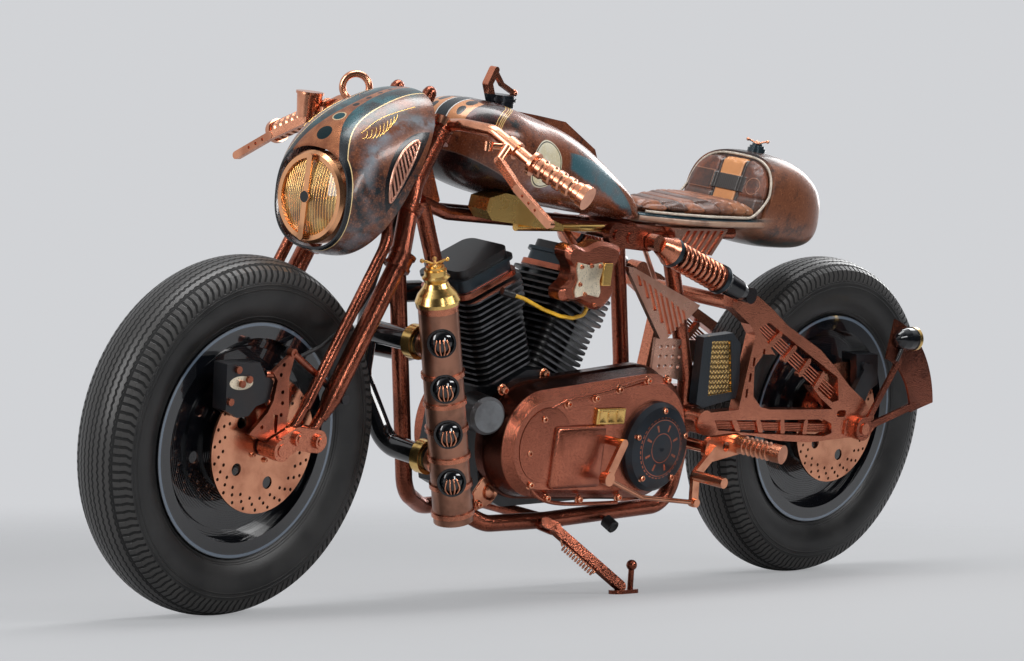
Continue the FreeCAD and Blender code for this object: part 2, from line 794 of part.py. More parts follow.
@functools.cache
def headlight_bezel():
    """The bezel ring with its bowl and the guard bar that stands over the lens."""
    front = headlight_x - bezel_lead
    inner = bezel_radius - bezel_width
    bezel = about_beam([
        (inner, front + bezel_step), (inner, front), (bezel_radius - bezel_chamfer, front),
        (bezel_radius, front + bezel_chamfer), (bezel_radius, front + bezel_depth),
        (inner, front + bezel_depth),
    ])
    bowl_front = front + bezel_depth - bezel_chamfer
    bowl = about_beam([
        (bowl_radius, bowl_front), (bowl_radius, front + bezel_depth),
        (bowl_back_radius, front + bowl_depth), (0, front + bowl_depth), (0, bowl_front),
    ])
    lens_front = front + bezel_step - lens_dome
    guard_x = lens_front - guard_thickness - seam_gap
    half = bezel_radius - bezel_chamfer
    guard = flat_bar([V(guard_x + guard_thickness / 2, 0, headlight_z - half + guard_width / 2),
                      V(guard_x + guard_thickness / 2, 0, headlight_z + half - guard_width / 2)],
                     guard_width, guard_thickness, X_AXIS)
    boss = disc(V(guard_x, 0, headlight_z), X_AXIS, guard_boss_radius, guard_thickness)
    feet = []
    for side in SIDES:
        foot = V(guard_x, 0, headlight_z + side * (half - guard_width / 2))
        feet.append(rod(foot, foot + X_AXIS * (front - guard_x + bezel_chamfer), guard_foot_radius))
    return joined([bezel, bowl, guard, boss] + feet)


def headlight_lens():
    """The domed lens, set inside the bezel."""
    front = headlight_x - bezel_lead
    tip = front + bezel_step - lens_dome
    rim = bezel_radius - bezel_width - running_clearance
    back = front + bezel_depth - bezel_chamfer - running_clearance
    top = headlight_z + rim
    half_way = V(tip + lens_dome_share * lens_dome, 0, headlight_z + rim / 2)
    dome = Part.Arc(V(tip, 0, headlight_z), half_way, V(tip + lens_dome, 0, top)).toShape()
    outline = [
        dome,
        Part.makeLine(V(tip + lens_dome, 0, top), V(back, 0, top)),
        Part.makeLine(V(back, 0, top), V(back, 0, headlight_z)),
        Part.makeLine(V(back, 0, headlight_z), V(tip, 0, headlight_z)),
    ]
    return Part.Face(Part.Wire(outline)).revolve(V(0, 0, headlight_z), X_AXIS, full_turn_deg)


caliper_y_low = -112.0
caliper_y_high = -76.0
caliper_x = -1000.0
caliper_z = 402.0
caliper_long = 140.0
caliper_high = 104.0
caliper_bridge_gap = 6.0
caliper_bolt_radius = 7.0
caliper_bolt_height = 6.0
# The caliper's side outline, hugging the rotor's rim, as shares of its length and height
caliper_shares = (
    (0.0, 0.98), (0.07, 0.14), (0.3, 0.0), (0.5, 0.03), (0.62, 0.2), (0.86, 0.3), (0.9, 0.66),
    (0.72, 0.78), (0.6, 1.0), (0.3, 1.0),
)
caliper_bolt_shares = ((0.12, 0.3), (0.3, 0.62), (0.42, 0.7), (0.2, 0.88))
bracket_thickness = 9.0
bracket_gap = 1.0
bracket_hole_radius = 4.0
bracket_x = -932.0
bracket_z = 352.0
bracket_long = 97.0
bracket_high = 173.0
# The scalloped bracket from the axle up to its link, as shares of its length and height
bracket_shares = (
    (0.93, 1.0), (0.62, 0.87), (0.45, 0.79), (0.60, 0.70), (0.55, 0.48), (0.43, 0.35), (0.0, 0.12),
    (0.62, 0.0), (0.93, 0.09), (1.0, 0.35), (0.9, 0.72), (0.98, 0.96),
)
bracket_window_shares = ((0.58, 0.33), (0.72, 0.32), (0.74, 0.13), (0.68, 0.12))
bracket_hole_shares = ((0.72, 0.87), (0.67, 0.76), (0.77, 0.57), (0.8, 0.45), (0.8, 0.32), (0.32, 0.19))
# Which of those holes a spacer behind the bracket ties to the caliper
spacer_holes = (1, 3)
spacer_lead = 28.0
axle_room_thickness = 36.0
link_radius = 7.0
link_end = V(-672.0, -96.0, 430.0)
link_stub_radius = 10.0
link_stub_length = 26.0


def front_caliper():
    """The caliper over the rotor, its pierced bracket and the link to the fork leg."""
    rotor_at = V(front_axle_x, front_rotor_y, axle_height)
    outline = scaled(caliper_shares, caliper_x, caliper_z, caliper_long, caliper_high)
    body = side_plate(outline, caliper_y_low, caliper_y_high)
    slot = disc(rotor_at, Y_AXIS, rotor_radius + caliper_bridge_gap, rotor_thickness + 2 * caliper_bridge_gap)
    plate_high = caliper_y_low - bracket_gap
    plate_low = plate_high - bracket_thickness
    plate = side_plate(scaled(bracket_shares, bracket_x, bracket_z, bracket_long, bracket_high),
                       plate_low, plate_high)
    holes = [side_plate(scaled(bracket_window_shares, bracket_x, bracket_z, bracket_long, bracket_high),
                        plate_low - overrun, plate_high + overrun)]
    for x, z in scaled(bracket_hole_shares, bracket_x, bracket_z, bracket_long, bracket_high):
        holes.append(rod(V(x, plate_low - overrun, z), V(x, plate_high + overrun, z), bracket_hole_radius))
    shapes = [body.cut(slot), plate.cut(holes)]
    for x, z in scaled(caliper_bolt_shares, caliper_x, caliper_z, caliper_long, caliper_high):
        shapes.append(rod(V(x, caliper_y_high, z), V(x, caliper_y_low - caliper_bolt_height, z),
                          caliper_bolt_radius).cut(slot))
    spacers = [bracket_hole_shares[index] for index in spacer_holes]
    for x, z in scaled(spacers, bracket_x, bracket_z, bracket_long, bracket_high):
        start = V(x - caliper_bolt_radius, plate_high, z)
        end = V(x - spacer_lead, caliper_y_low + overrun, z)
        shapes.append(rod(start, end, caliper_bolt_radius).cut(slot))
    top = V(bracket_x + bracket_long * bracket_shares[0][0], caliper_y_low, bracket_z + bracket_high)
    shapes.append(rod(top - Y_AXIS * bracket_thickness, link_end, link_radius))
    shapes.append(disc(top - Y_AXIS * bracket_thickness / 2, Y_AXIS, link_radius + bracket_gap,
                       2 * bracket_thickness))
    shapes.append(disc(link_end, Y_AXIS, link_stub_radius, link_stub_length))
    axle_room = disc(V(front_axle_x, plate_low, axle_height), Y_AXIS, axle_spacer_radius + bracket_gap,
                     axle_room_thickness)
    return joined(shapes).cut([fork_rear_legs(), fork_front_legs(), fork_rockers(), axle_room])


# Main frame

down_tube_radius = 17.0
spine_radius = 13.0
cross_tube_radius = 12.0
cradle_bend_radius = 70.0
head_tube_radius = 29.0
head_tube_low = 513.0
head_tube_high = 637.0
tube_head_up = 538.0
tube_head_behind = 68.0
tube_head_y = 34.0
cradle_x = -452.0
cradle_low_z = 166.0
cradle_length = 804.0
cradle_height = 634.0
cradle_half_width = 95.0
# The corners of a down tube and its rail, as shares of the cradle's length, height and half width
cradle_shares = (
    (0.056, 0.789, 0.56), (0.149, 0.274, 0.56), (0.187, 0.062, 0.61), (0.295, 0.0, 0.93),
    (0.512, 0.003, 1.0), (0.973, 0.032, 0.97), (1.0, 0.211, 0.95), (0.991, 0.448, 0.95),
    (0.873, 0.918, 0.74),
)
spine_z = 749.0
spine_front_rise = 30.0
spine_mid_rise = 7.0
spine_rear_x = 470.0
spine_front_x = -380.0
spine_mid_x = 60.0
spine_front_y = 36.0
spine_mid_y = 42.0
spine_rear_y = 56.0
swing_pivot_x = 350.0
swing_pivot_z = 370.0
pivot_lug_radius = 30.0
pivot_lug_inner_y = 70.0
pivot_lug_outer_y = 108.0
gusset_inner_y = 14.0
gusset_thickness = 14.0
# The head gusset's corners up and behind the steering axis, as shares of the head tube's length
gusset_shares = ((0.03, 0.0), (0.96, 0.0), (0.92, 0.28), (0.44, 0.97), (0.08, 0.9))
shock_top_x = 140.0
shock_top_z = 740.0
shock_bar_y = 118.0
shock_lug_x = 38.0
shock_lug_z = 752.0
shock_lug_radius = 25.0
shock_lug_small_radius = 21.0
shock_lug_thickness = 16.0
shock_boss_radius = 11.0
shock_boss_height = 4.0
shock_boss_shares = (0.0, 0.42)
cross_tube_xs = (-40.0, 300.0)
seat_cross_xs = (60.0, 250.0, 462.0)


def cradle_points(side):
    """The corners of one down tube from the head to the seat rail."""
    points = [on_fork(tube_head_up, -tube_head_behind, side * tube_head_y)]
    for along, up, out in cradle_shares:
        points.append(V(cradle_x + along * cradle_length, side * out * cradle_half_width,
                        cradle_low_z + up * cradle_height))
    return points


def rail_z(x):
    """The height of the lower rails' middle line, between their two long corners."""
    share = (x - cradle_x) / cradle_length
    (a, low, _), (b, high, _) = cradle_shares[4:6]
    return cradle_low_z + cradle_height * (low + (high - low) * (share - a) / (b - a))


@functools.cache
def head_and_spine():
    """The head tube, its gussets, the twin spine with the seat rails and the shock bar."""
    shapes = [rod(on_fork(head_tube_low, 0, 0), on_fork(head_tube_high, 0, 0), head_tube_radius)]
    reach = head_tube_high - head_tube_low
    for side in SIDES:
        spine = [
            on_fork(tube_head_up, -tube_head_behind, side * tube_head_y),
            V(spine_front_x, side * spine_front_y, spine_z + spine_front_rise),
            V(spine_mid_x, side * spine_mid_y, spine_z + spine_mid_rise),
            V(cradle_points(1)[-1].x, side * spine_rear_y, spine_z),
            V(spine_rear_x, side * spine_rear_y, spine_z),
        ]
        shapes.append(bent_tube(spine, spine_radius, cradle_bend_radius))
        low, high = sorted((side * gusset_inner_y, side * (gusset_inner_y + gusset_thickness)))
        corners = [on_fork(head_tube_low + up * reach, -behind * reach, 0) for up, behind in gusset_shares]
        shapes.append(side_plate([(corner.x, corner.z) for corner in corners], low, high))
    cross_y = spine_rear_y - spine_radius / 2
    for x in seat_cross_xs:
        shapes.append(rod(V(x, -cross_y, spine_z), V(x, cross_y, spine_z), cross_tube_radius))
    shapes.append(rod(V(shock_top_x, -shock_bar_y, shock_top_z), V(shock_top_x, shock_bar_y, shock_top_z),
                      spine_radius))
    web = 2 * shock_lug_radius
    shapes.append(disc(V(shock_top_x, 0, spine_z), Y_AXIS, shock_lug_small_radius, 2 * spine_mid_y + web))
    shapes += shock_lug()
    stem = rod(on_fork(head_tube_low - overrun, 0, 0), on_fork(head_tube_high + overrun, 0, 0),
               stem_radius + running_clearance)
    return joined(shapes).cut(stem)


def shock_lug():
    """The bossed plate on the left end of the shock bar."""
    first = V(shock_lug_x, 0, shock_lug_z)
    second = V(shock_top_x, 0, shock_top_z)
    plate = two_circle_plate(first, shock_lug_radius, second, shock_lug_small_radius,
                             -shock_bar_y, -shock_bar_y + shock_lug_thickness)
    shapes = [plate]
    shapes.append(rod(V(first.x, -shock_bar_y, first.z), V(first.x, -spine_mid_y, first.z),
                      cross_tube_radius))
    for share in shock_boss_shares:
        at = first + (second - first) * share - Y_AXIS * (shock_bar_y + shock_boss_height / 2)
        shapes.append(disc(at, Y_AXIS, shock_boss_radius, shock_boss_height))
    return shapes


def cradle(side):
    """One down tube with its rail, rear upright and swing pivot lug."""
    shapes = [bent_tube(cradle_points(side), down_tube_radius, cradle_bend_radius)]
    shapes.append(rod(V(swing_pivot_x, side * pivot_lug_inner_y, swing_pivot_z),
                      V(swing_pivot_x, side * pivot_lug_outer_y, swing_pivot_z), pivot_lug_radius))
    for x in cross_tube_xs:
        shapes.append(rod(V(x, 0, rail_z(x)), V(x, side * cradle_half_width, rail_z(x)), cross_tube_radius))
    return shapes


bumper_x = 118.0
bumper_y = -126.0
bumper_z = 162.0


@functools.cache
def rails():
    """Both cradles with their cross tubes, the stand's lug and the stud of its rubber stop."""
    shapes = cradle(-1) + cradle(1) + stand_bracket()
    shapes.append(rod(V(bumper_x, bumper_y, bumper_z), V(bumper_x, -cradle_half_width, rail_z(bumper_x)),
                      stand_pin_radius))
    return joined(shapes).cut(head_and_spine())


stand_pivot_x = -50.0
stand_pivot_y = -128.0
stand_pivot_z = 158.0
stand_foot_x = 84.0
stand_foot_y = -206.0
stand_foot_z = 50.0
STAND_PIVOT = V(stand_pivot_x, stand_pivot_y, stand_pivot_z)
STAND_FOOT = V(stand_foot_x, stand_foot_y, stand_foot_z)
# The direction of the folded leg, as shares of its length
stand_folded_shares = (0.977, -0.208, -0.052)
STAND_HINGE = (STAND_FOOT - STAND_PIVOT).cross(V(*stand_folded_shares)).normalize()
stand_leg_width = 22.0
stand_leg_thickness = 12.0
stand_pin_radius = 5.0
cheek_thickness = 5.0
cheek_reach = 26.0
cheek_rise = 12.0
cheek_web_radius = 8.0


def stand_bracket():
    """The fork-ended lug under the left rail that holds the hinge pin of the stand."""
    ahead_way = V(STAND_HINGE.cross(X_AXIS).cross(STAND_HINGE)).normalize() * -1
    up_way = ahead_way.cross(STAND_HINGE)
    root = STAND_PIVOT + ahead_way * cheek_reach + up_way * cheek_rise
    offset = stand_leg_thickness / 2 + seam_gap + cheek_thickness / 2
    shapes = [rod(root, V(root.x, -cradle_half_width, rail_z(root.x)), cheek_web_radius)]
    for way in SIDES:
        shift = STAND_HINGE * (way * offset)
        shapes.append(flat_bar([STAND_PIVOT + shift, root + shift], stand_leg_width, cheek_thickness,
                               STAND_HINGE))
    shapes.append(disc(root, STAND_HINGE, cheek_web_radius, 2 * offset))
    shapes.append(disc(STAND_PIVOT, STAND_HINGE, stand_pin_radius, 2 * offset + 2 * cheek_thickness))
    return shapes


# Tank, seat and tail

tank_power = 2.5
tank_front_x = -394.0
tank_length = 590.0
tank_half_width = 138.0
tank_low_z = 768.0
tank_height = 234.0
# Stations along the tank: place, half width, low and high
tank_shares = (
    (0.0, 0.304, 0.521, 0.829),
    (0.027, 0.623, 0.376, 0.932),
    (0.102, 0.906, 0.274, 1.0),
    (0.227, 1.0, 0.192, 0.974),
    (0.414, 0.986, 0.132, 0.863),
    (0.600, 0.870, 0.081, 0.692),
    (0.770, 0.667, 0.038, 0.474),
    (0.922, 0.435, 0.009, 0.248),
    (1.0, 0.22, 0.0, 0.1),
)
ridge_half_width = 36.0
ridge_x = -150.0
ridge_z = 870.0
ridge_length = 194.0
ridge_height = 107.0
ridge_shares = ((0.0, 0.6), (0.0, 1.0), (0.43, 0.9), (0.94, 0.40), (1.0, 0.2), (0.92, 0.0))


@functools.cache
def tank():
    """The teardrop tank with a raised ridge along its back."""
    body = oval_body(tank_shares, tank_front_x, tank_length, tank_half_width, tank_low_z, tank_height,
                     tank_power)
    outline = scaled(ridge_shares, ridge_x, ridge_z, ridge_length, ridge_height)
    return joined([body, side_plate(outline, -ridge_half_width, ridge_half_width)])


cap_x = -226.0
cap_z = 988.0
cap_radius = 27.0
cap_height = 24.0
cap_flange_radius = 31.0
cap_flange_thickness = 6.0
cap_post_width = 14.0
cap_post_thickness = 16.0
cap_arm_width = 9.0
cap_ball_radius = 8.0
cap_lever_span = 80.0
cap_lever_height = 72.0
# The upright post and the sloping arm of the cap's lever, as shares of its span and height
cap_post_shares = ((-0.375, 0.2), (-0.55, 0.61), (-0.375, 1.0))
cap_arm_shares = ((-0.375, 1.0), (-0.05, 0.61), (0.43, 0.38))


def filler_cap():
    """The filler cap with its upright lever arm."""
    foot = V(cap_x, 0, cap_z)
    shapes = [Part.makeCylinder(cap_radius, cap_height, foot, Z_AXIS)]
    flange_at = foot + Z_AXIS * (cap_height / 2)
    shapes.append(Part.makeCylinder(cap_flange_radius, cap_flange_thickness, flange_at, Z_AXIS))
    post = [V(x, 0, z) for x, z in scaled(cap_post_shares, cap_x, cap_z, cap_lever_span, cap_lever_height)]
    arm = [V(x, 0, z) for x, z in scaled(cap_arm_shares, cap_x, cap_z, cap_lever_span, cap_lever_height)]
    shapes.append(flat_bar(post, cap_post_width, cap_post_thickness, Y_AXIS))
    shapes.append(flat_bar(arm, cap_arm_width, cap_arm_width, Y_AXIS))
    shapes.append(Part.makeSphere(cap_ball_radius, arm[-1]))
    return joined(shapes).cut(tank())


tray_x = -350.0
tray_z = 758.0
tray_length = 232.0
tray_height = 74.0
tray_inner_y = -62.0
tray_outer_y = -112.0
tray_shares = (
    (0.0, 0.54), (0.02, 0.86), (0.215, 1.0), (0.43, 0.89), (0.625, 0.51), (0.99, 0.16), (1.0, 0.0),
    (0.086, 0.27),
)
tray_bar_y = -88.0
tray_bar_z = 762.0
tray_bar_end_x = 24.0
tray_bar_radius = 8.0


@functools.cache
def tank_tray():
    """The brass tray under the left of the tank, with its round bar."""
    outline = scaled(tray_shares, tray_x, tray_z, tray_length, tray_height)
    tray = side_plate(outline, tray_outer_y, tray_inner_y)
    bar = rod(V(tray_x + tray_length / 2, tray_bar_y, tray_bar_z), V(tray_bar_end_x, tray_bar_y, tray_bar_z),
              tray_bar_radius)
    return joined([tray, bar]).cut([tank(), head_and_spine()])


saddle_power = 3.2
seat_front_x = 201.0
seat_length = 278.0
seat_half_width = 110.0
seat_low_z = 787.0
seat_height = 28.0
seat_shares = (
    (0.0, 0.27, 0.125, 0.571), (0.176, 0.6, 0.089, 0.714), (0.511, 0.909, 0.018, 0.929),
    (0.824, 1.0, 0.0, 1.0), (1.0, 1.0, 0.0, 0.893),
)
pan_front_x = 198.0
pan_length = 302.0
pan_half_width = 118.0
pan_low_z = 763.0
pan_height = 24.0
pan_shares = (
    (0.0, 0.288, 0.125, 1.0), (0.172, 0.593, 0.04, 1.0), (0.48, 0.881, 0.0, 0.99),
    (0.768, 0.975, 0.0, 0.97), (1.0, 1.0, 0.0, 0.97),
)
tail_power = 2.8
tail_front_x = 484.0
tail_length = 269.0
tail_half_width = 120.0
tail_low_z = 2 * tyre_radius + 24.0
tail_height = 200.0
tail_shares = (
    (0.0, 0.95, 0.19, 0.93), (0.208, 1.0, 0.05, 1.0), (0.431, 1.0, 0.01, 0.985), (0.654, 0.933, 0.0, 0.895),
    (0.822, 0.783, 0.015, 0.76), (0.929, 0.55, 0.08, 0.61), (1.0, 0.25, 0.22, 0.43),
)
pad_foot_x = 500.0
pad_top_x = 542.0
pad_top_z = 930.0
pad_thickness = 16.0
pad_half_width = 110.0
pad_high_z = 906.0
pad_foot_z = seat_low_z + 0.2


def seat():
    """The low saddle cushion, narrow at the tank and broad at the back."""
    return oval_body(seat_shares, seat_front_x, seat_length, seat_half_width, seat_low_z, seat_height,
                     saddle_power)


def back_pad():
    """The padded rest that leans against the front face of the tail."""
    outline = [(pad_foot_x - pad_thickness, pad_foot_z), (pad_foot_x - seam_gap, pad_foot_z),
               (pad_top_x - seam_gap, pad_top_z), (pad_top_x - pad_thickness, pad_top_z)]
    slab = side_plate(outline, -tail_half_width, tail_half_width)
    low = pad_foot_z - (pad_high_z - pad_foot_z)
    oval = oval_section(tail_front_x - seat_length, pad_half_width, low, pad_high_z, saddle_power)
    return slab.common(Part.Face(oval).extrude(X_AXIS * (2 * seat_length)))


def tail_cowl():
    """The rounded tail hump with the pan that carries the saddle."""
    hump = oval_body(tail_shares, tail_front_x, tail_length, tail_half_width, tail_low_z, tail_height,
                     tail_power)
    outline = [(pan_front_x, pad_foot_z), (pad_foot_x, pad_foot_z), (pad_top_x, pad_top_z),
               (pan_front_x, pad_top_z)]
    hump = hump.cut(side_plate(outline, -2 * tail_half_width, 2 * tail_half_width))
    pan = oval_body(pan_shares, pan_front_x, pan_length, pan_half_width, pan_low_z, pan_height, saddle_power)
    return joined([hump, pan])


louvre_x = 244.0
louvre_z = 706.0
louvre_length = 170.0
louvre_height = 56.5
louvre_inner_y = -40.0
louvre_outer_y = -92.0
louvre_shares = ((0.0, 1.0), (1.0, 1.0), (0.97, 0.75), (0.8, 0.0), (0.2, 0.2), (0.06, 0.55))
louvre_count = 8
louvre_slot_share = 0.5
louvre_slot_depth = 9.0
louvre_lean_share = 0.12


def seat_louvre():
    """The slatted panel that hangs under the left of the seat."""
    outline = scaled(louvre_shares, louvre_x, louvre_z, louvre_length, louvre_height)
    body = side_plate(outline, louvre_outer_y, louvre_inner_y)
    pitch = louvre_length / louvre_count
    lean = louvre_lean_share * louvre_length
    wide = louvre_slot_share * pitch
    top = louvre_z + louvre_height - overrun
    slots = []
    for step in range(1, louvre_count):
        x = louvre_x + step * pitch
        slot = [(x + lean, top), (x + lean + wide, top), (x - lean + wide, louvre_z), (x - lean, louvre_z)]
        slots.append(side_plate(slot, louvre_outer_y - overrun, louvre_outer_y + louvre_slot_depth))
    return body.cut(slots + [head_and_spine()])


# Engine

crank_x = -112.0
crank_z = 300.0
CRANK = V(crank_x, 0, crank_z)
cylinder_lean_deg = 22.5
bank_base = 172.0
bank_head = 300.0
bank_top = 366.0
barrel_radius = 56.0
fin_half_width = 76.0
head_fin_half_width = 82.0
fin_corner = 26.0
fin_thickness = 4.0
fin_pitch = 12.8


def bank_way(side):
    """The direction of a cylinder: -1 for the front one, 1 for the rear one."""
    turn = math.radians(cylinder_lean_deg)
    return V(side * math.sin(turn), 0, math.cos(turn))


def rounded_block(side, low, high, half_long, half_wide, corner):
    """A block across a cylinder's axis, with rounded upright corners."""
    way = bank_way(side)
    along = way.cross(Y_AXIS).normalize()
    start = CRANK + way * low
    block = rod(start, CRANK + way * high, corner)
    shapes = []
    for a, b in ((1, 0), (0, 1)):
        reach_long = half_long - a * corner
        reach_wide = half_wide - b * corner
        corners = [start + along * (p * reach_long) + Y_AXIS * (q * reach_wide)
                   for p, q in ((-1, -1), (1, -1), (1, 1), (-1, 1))]
        shapes.append(Part.Face(Part.makePolygon(corners + [corners[0]])).extrude(way * (high - low)))
    for p in SIDES:
        for q in SIDES:
            post = block.copy()
            post.translate(along * (p * (half_long - corner)) + Y_AXIS * (q * (half_wide - corner)))
            shapes.append(post)
    return joined(shapes)


def own_side(side, shape):
    """A cylinder's shape, kept to its own side of the plane between the cylinders."""
    size = cutter_times * bank_top
    x = crank_x - seam_gap / 2 if side < 0 else crank_x + seam_gap / 2 - size
    return shape.cut(Part.makeBox(size, size, size, V(x, -size / 2, crank_z)))


@functools.cache
def cylinders():
    """Two finned barrels with their finned heads, square like their fins."""
    shapes = []
    for side in SIDES:
        way = bank_way(side)
        parts = [Part.makeCylinder(barrel_radius, bank_top - bank_base, CRANK + way * bank_base, way)]
        for step in range(int((bank_top - bank_base) / fin_pitch)):
            up = bank_base + fin_pitch * (step + 0.5)
            half = fin_half_width if up < bank_head else head_fin_half_width
            parts.append(rounded_block(side, up, up + fin_thickness, half, half, fin_corner))
        shapes.append(own_side(side, joined(parts)))
    return Part.makeCompound(shapes)


rocker_box_height = 58.0
rocker_box_half_long = 76.0
rocker_box_half_wide = 62.0
rocker_box_corner = 22.0
# The layers of a rocker box: low and high as shares of its height, and how far each stands out
rocker_box_layers = ((0.0, 0.2, 4.0), (0.2, 0.58, -2.0), (0.58, 0.7, 3.0), (0.7, 1.0, -5.0))


@functools.cache
def rocker_boxes():
    """The rounded box on top of each head, in stepped layers."""
    shapes = []
    for side in SIDES:
        layers = []
        for low, high, out in rocker_box_layers:
            layers.append(rounded_block(
                side, bank_top + rocker_box_height * low, bank_top + rocker_box_height * high,
                rocker_box_half_long + out, rocker_box_half_wide + out, rocker_box_corner))
        shapes.append(own_side(side, joined(layers)))
    return Part.makeCompound(shapes)


case_x = -250.0
case_z = 198.0
case_length = 550.0
case_height = 276.0
case_half_width = 84.0
case_shares = (
    (0.0, 0.261), (0.018, 0.659), (0.082, 0.877), (0.164, 1.0), (0.338, 1.0), (0.418, 0.877), (0.564, 0.848),
    (0.873, 0.841), (0.982, 0.732), (1.0, 0.37), (0.945, 0.098), (0.727, 0.025), (0.145, 0.0), (0.027, 0.098),
)
spigot_radius = 66.0
spigot_length = 70.0
bank_seat_radius = 100.0


@functools.cache
def engine_case():
    """The crankcase and gearbox in one casting, with the seats of the cylinders."""
    outline = scaled(case_shares, case_x, case_z, case_length, case_height)
    shapes = [side_plate(outline, -case_half_width, case_half_width)]
    seats = []
    for side in SIDES:
        way = bank_way(side)
        seat_at = CRANK + way * bank_base
        shapes.append(rod(seat_at - way * spigot_length, seat_at, spigot_radius))
        seats.append(rod(seat_at, seat_at + way * spigot_length, bank_seat_radius))
    return joined(shapes).cut(seats)


PRIMARY_FRONT = V(-148.0, 0, 338.0)
PRIMARY_REAR = V(165.0, 0, 345.0)
primary_front_radius = 120.0
primary_rear_radius = 140.0
primary_flange_y = -104.0
primary_shoulder_y = -146.0
primary_face_y = -163.0
primary_shoulder_in = 12.0
primary_face_in = 30.0
ear_x = 232.0
ear_z = 396.0
ear_radius = 26.0
ear_root_radius = 70.0
ear_root_x = 150.0
ear_root_z = 400.0
flange_bolt_radius = 6.5
flange_bolt_height = 5.0
flange_bolt_in = 8.0
# Turns of the flange bolts round the front and the rear circle
front_bolt_turns_deg = (90.0, 130.0, 180.0, 230.0, 270.0)
rear_bolt_turns_deg = (-90.0, -40.0, 0.0, 90.0)
panel_step_in = 44.0
panel_depth = 4.0


def primary_outline(shrink, y_at):
    """The primary cover's outline, drawn in by an amount, in one plane."""
    return two_circle_outline(PRIMARY_FRONT, primary_front_radius - shrink,
                              PRIMARY_REAR, primary_rear_radius - shrink, y_at)


@functools.cache
def primary_cover():
    """The long left cover over the crank and clutch: flange, tapered wall and dished face."""
    flange = Part.Face(primary_outline(0.0, primary_flange_y))
    flange = flange.extrude(Y_AXIS * (-case_half_width - primary_flange_y))
    wall = Part.makeLoft([primary_outline(flange_bolt_in / 2, primary_flange_y),
                          primary_outline(primary_shoulder_in, primary_shoulder_y)], True, True)
    crown = Part.makeLoft([primary_outline(primary_shoulder_in, primary_shoulder_y),
                           primary_outline(primary_face_in, primary_face_y)], True, True)
    ear = two_circle_plate(V(ear_root_x, 0, ear_root_z), ear_root_radius, V(ear_x, 0, ear_z), ear_radius,
                           primary_flange_y, -case_half_width)
    dish = disc(V(PRIMARY_FRONT.x, primary_face_y, PRIMARY_FRONT.z), Y_AXIS,
                primary_front_radius - panel_step_in, 2 * panel_depth)
    boss = disc(V(PRIMARY_FRONT.x, primary_face_y + panel_depth, PRIMARY_FRONT.z), Y_AXIS,
                (primary_front_radius - panel_step_in) / 2, 2 * panel_depth)
    body = joined([joined([flange, wall, crown, ear]).cut(dish), boss])
    bolts = []
    for centre, radius, turns in ((PRIMARY_FRONT, primary_front_radius, front_bolt_turns_deg),
                                  (PRIMARY_REAR, primary_rear_radius, rear_bolt_turns_deg)):
        for turn_deg in turns:
            turn = math.radians(turn_deg)
            reach = radius - flange_bolt_in
            head_at = centre + V(reach * math.cos(turn), primary_flange_y, reach * math.sin(turn))
            bolts.append(disc(head_at, Y_AXIS, flange_bolt_radius, 2 * flange_bolt_height))
    return joined([body] + bolts)


derby_x = 178.0
derby_z = 327.0
derby_radius = 92.0
derby_height = 27.0
# The derby cover's turned outline, as shares of its height and its radius
derby_shares = ((0.0, 0.0), (0.0, 1.0), (0.37, 1.0), (0.74, 0.91), (0.93, 0.65), (1.0, 0.0))


def derby_cover():
    """The round domed clutch cover on the primary's face."""
    profile = [(derby_height * a, derby_radius * b) for a, b in derby_shares]
    return turned_along(V(derby_x, primary_face_y, derby_z), -Y_AXIS, profile)


cam_x = -112.0
cam_z = 330.0
cam_radius = 118.0
cam_rear_x = -20.0
cam_rear_radius = 96.0
cam_y = 118.0
gear_cover_x = 60.0
gear_cover_z = 325.0
gear_cover_radius = 84.0
gear_cover_rear_x = 190.0
gear_cover_rear_radius = 72.0
gear_cover_y = 100.0
tappet_x = 70.0
tappet_z = 452.0
tappet_y = 98.0
tappet_radius = 17.0
tappet_height = 64.0
pushrod_shift = 26.0
pushrod_radius = 8.6
pushrod_lift = 5.0
pushrod_top_y = 84.0
pushrod_top_rise = 6.0
output_x = 236.0
output_z = 352.0
output_radius = 22.0
output_sprocket_radius = 36.0


@functools.cache
def cam_cover():
    """The right side gear covers with the tappet blocks and the driving sprocket."""
    nose = two_circle_plate(V(cam_x, 0, cam_z), cam_radius, V(cam_rear_x, 0, cam_z), cam_rear_radius,
                            case_half_width, cam_y)
    tail = two_circle_plate(V(gear_cover_x, 0, gear_cover_z), gear_cover_radius,
                            V(gear_cover_rear_x, 0, gear_cover_z), gear_cover_rear_radius,
                            case_half_width, gear_cover_y)
    shapes = [nose, tail]
    for foot in pushrod_feet():
        block = foot - Z_AXIS * tappet_height
        shapes.append(rod(block, foot, tappet_radius))
    output = V(output_x, case_half_width, output_z)
    end_y = sprocket_y + sprocket_thickness / 2
    shapes.append(rod(output, V(output_x, end_y, output_z), output_radius))
    shapes.append(disc(V(output_x, sprocket_y, output_z), Y_AXIS, output_sprocket_radius, sprocket_thickness))
    return joined(shapes).cut([cylinders(), engine_case()])


def pushrod_feet():
    """The tops of the four tappet blocks."""
    return [V(crank_x + side * tappet_x + shift * pushrod_shift, tappet_y, tappet_z)
            for side in SIDES for shift in SIDES]


@functools.cache
def pushrod_tubes():
    """Four slender tubes from the tappet blocks to the rocker boxes."""
    shapes = []
    for side in SIDES:
        for shift in SIDES:
            foot = V(crank_x + side * tappet_x + shift * pushrod_shift, tappet_y, tappet_z + pushrod_lift)
            top = CRANK + bank_way(side) * bank_top
            top = top + V(shift * pushrod_shift, pushrod_top_y, pushrod_top_rise)
            shapes.append(rod(foot, top, pushrod_radius).cut([cylinders(), rocker_boxes()]))
    return Part.makeCompound(shapes)


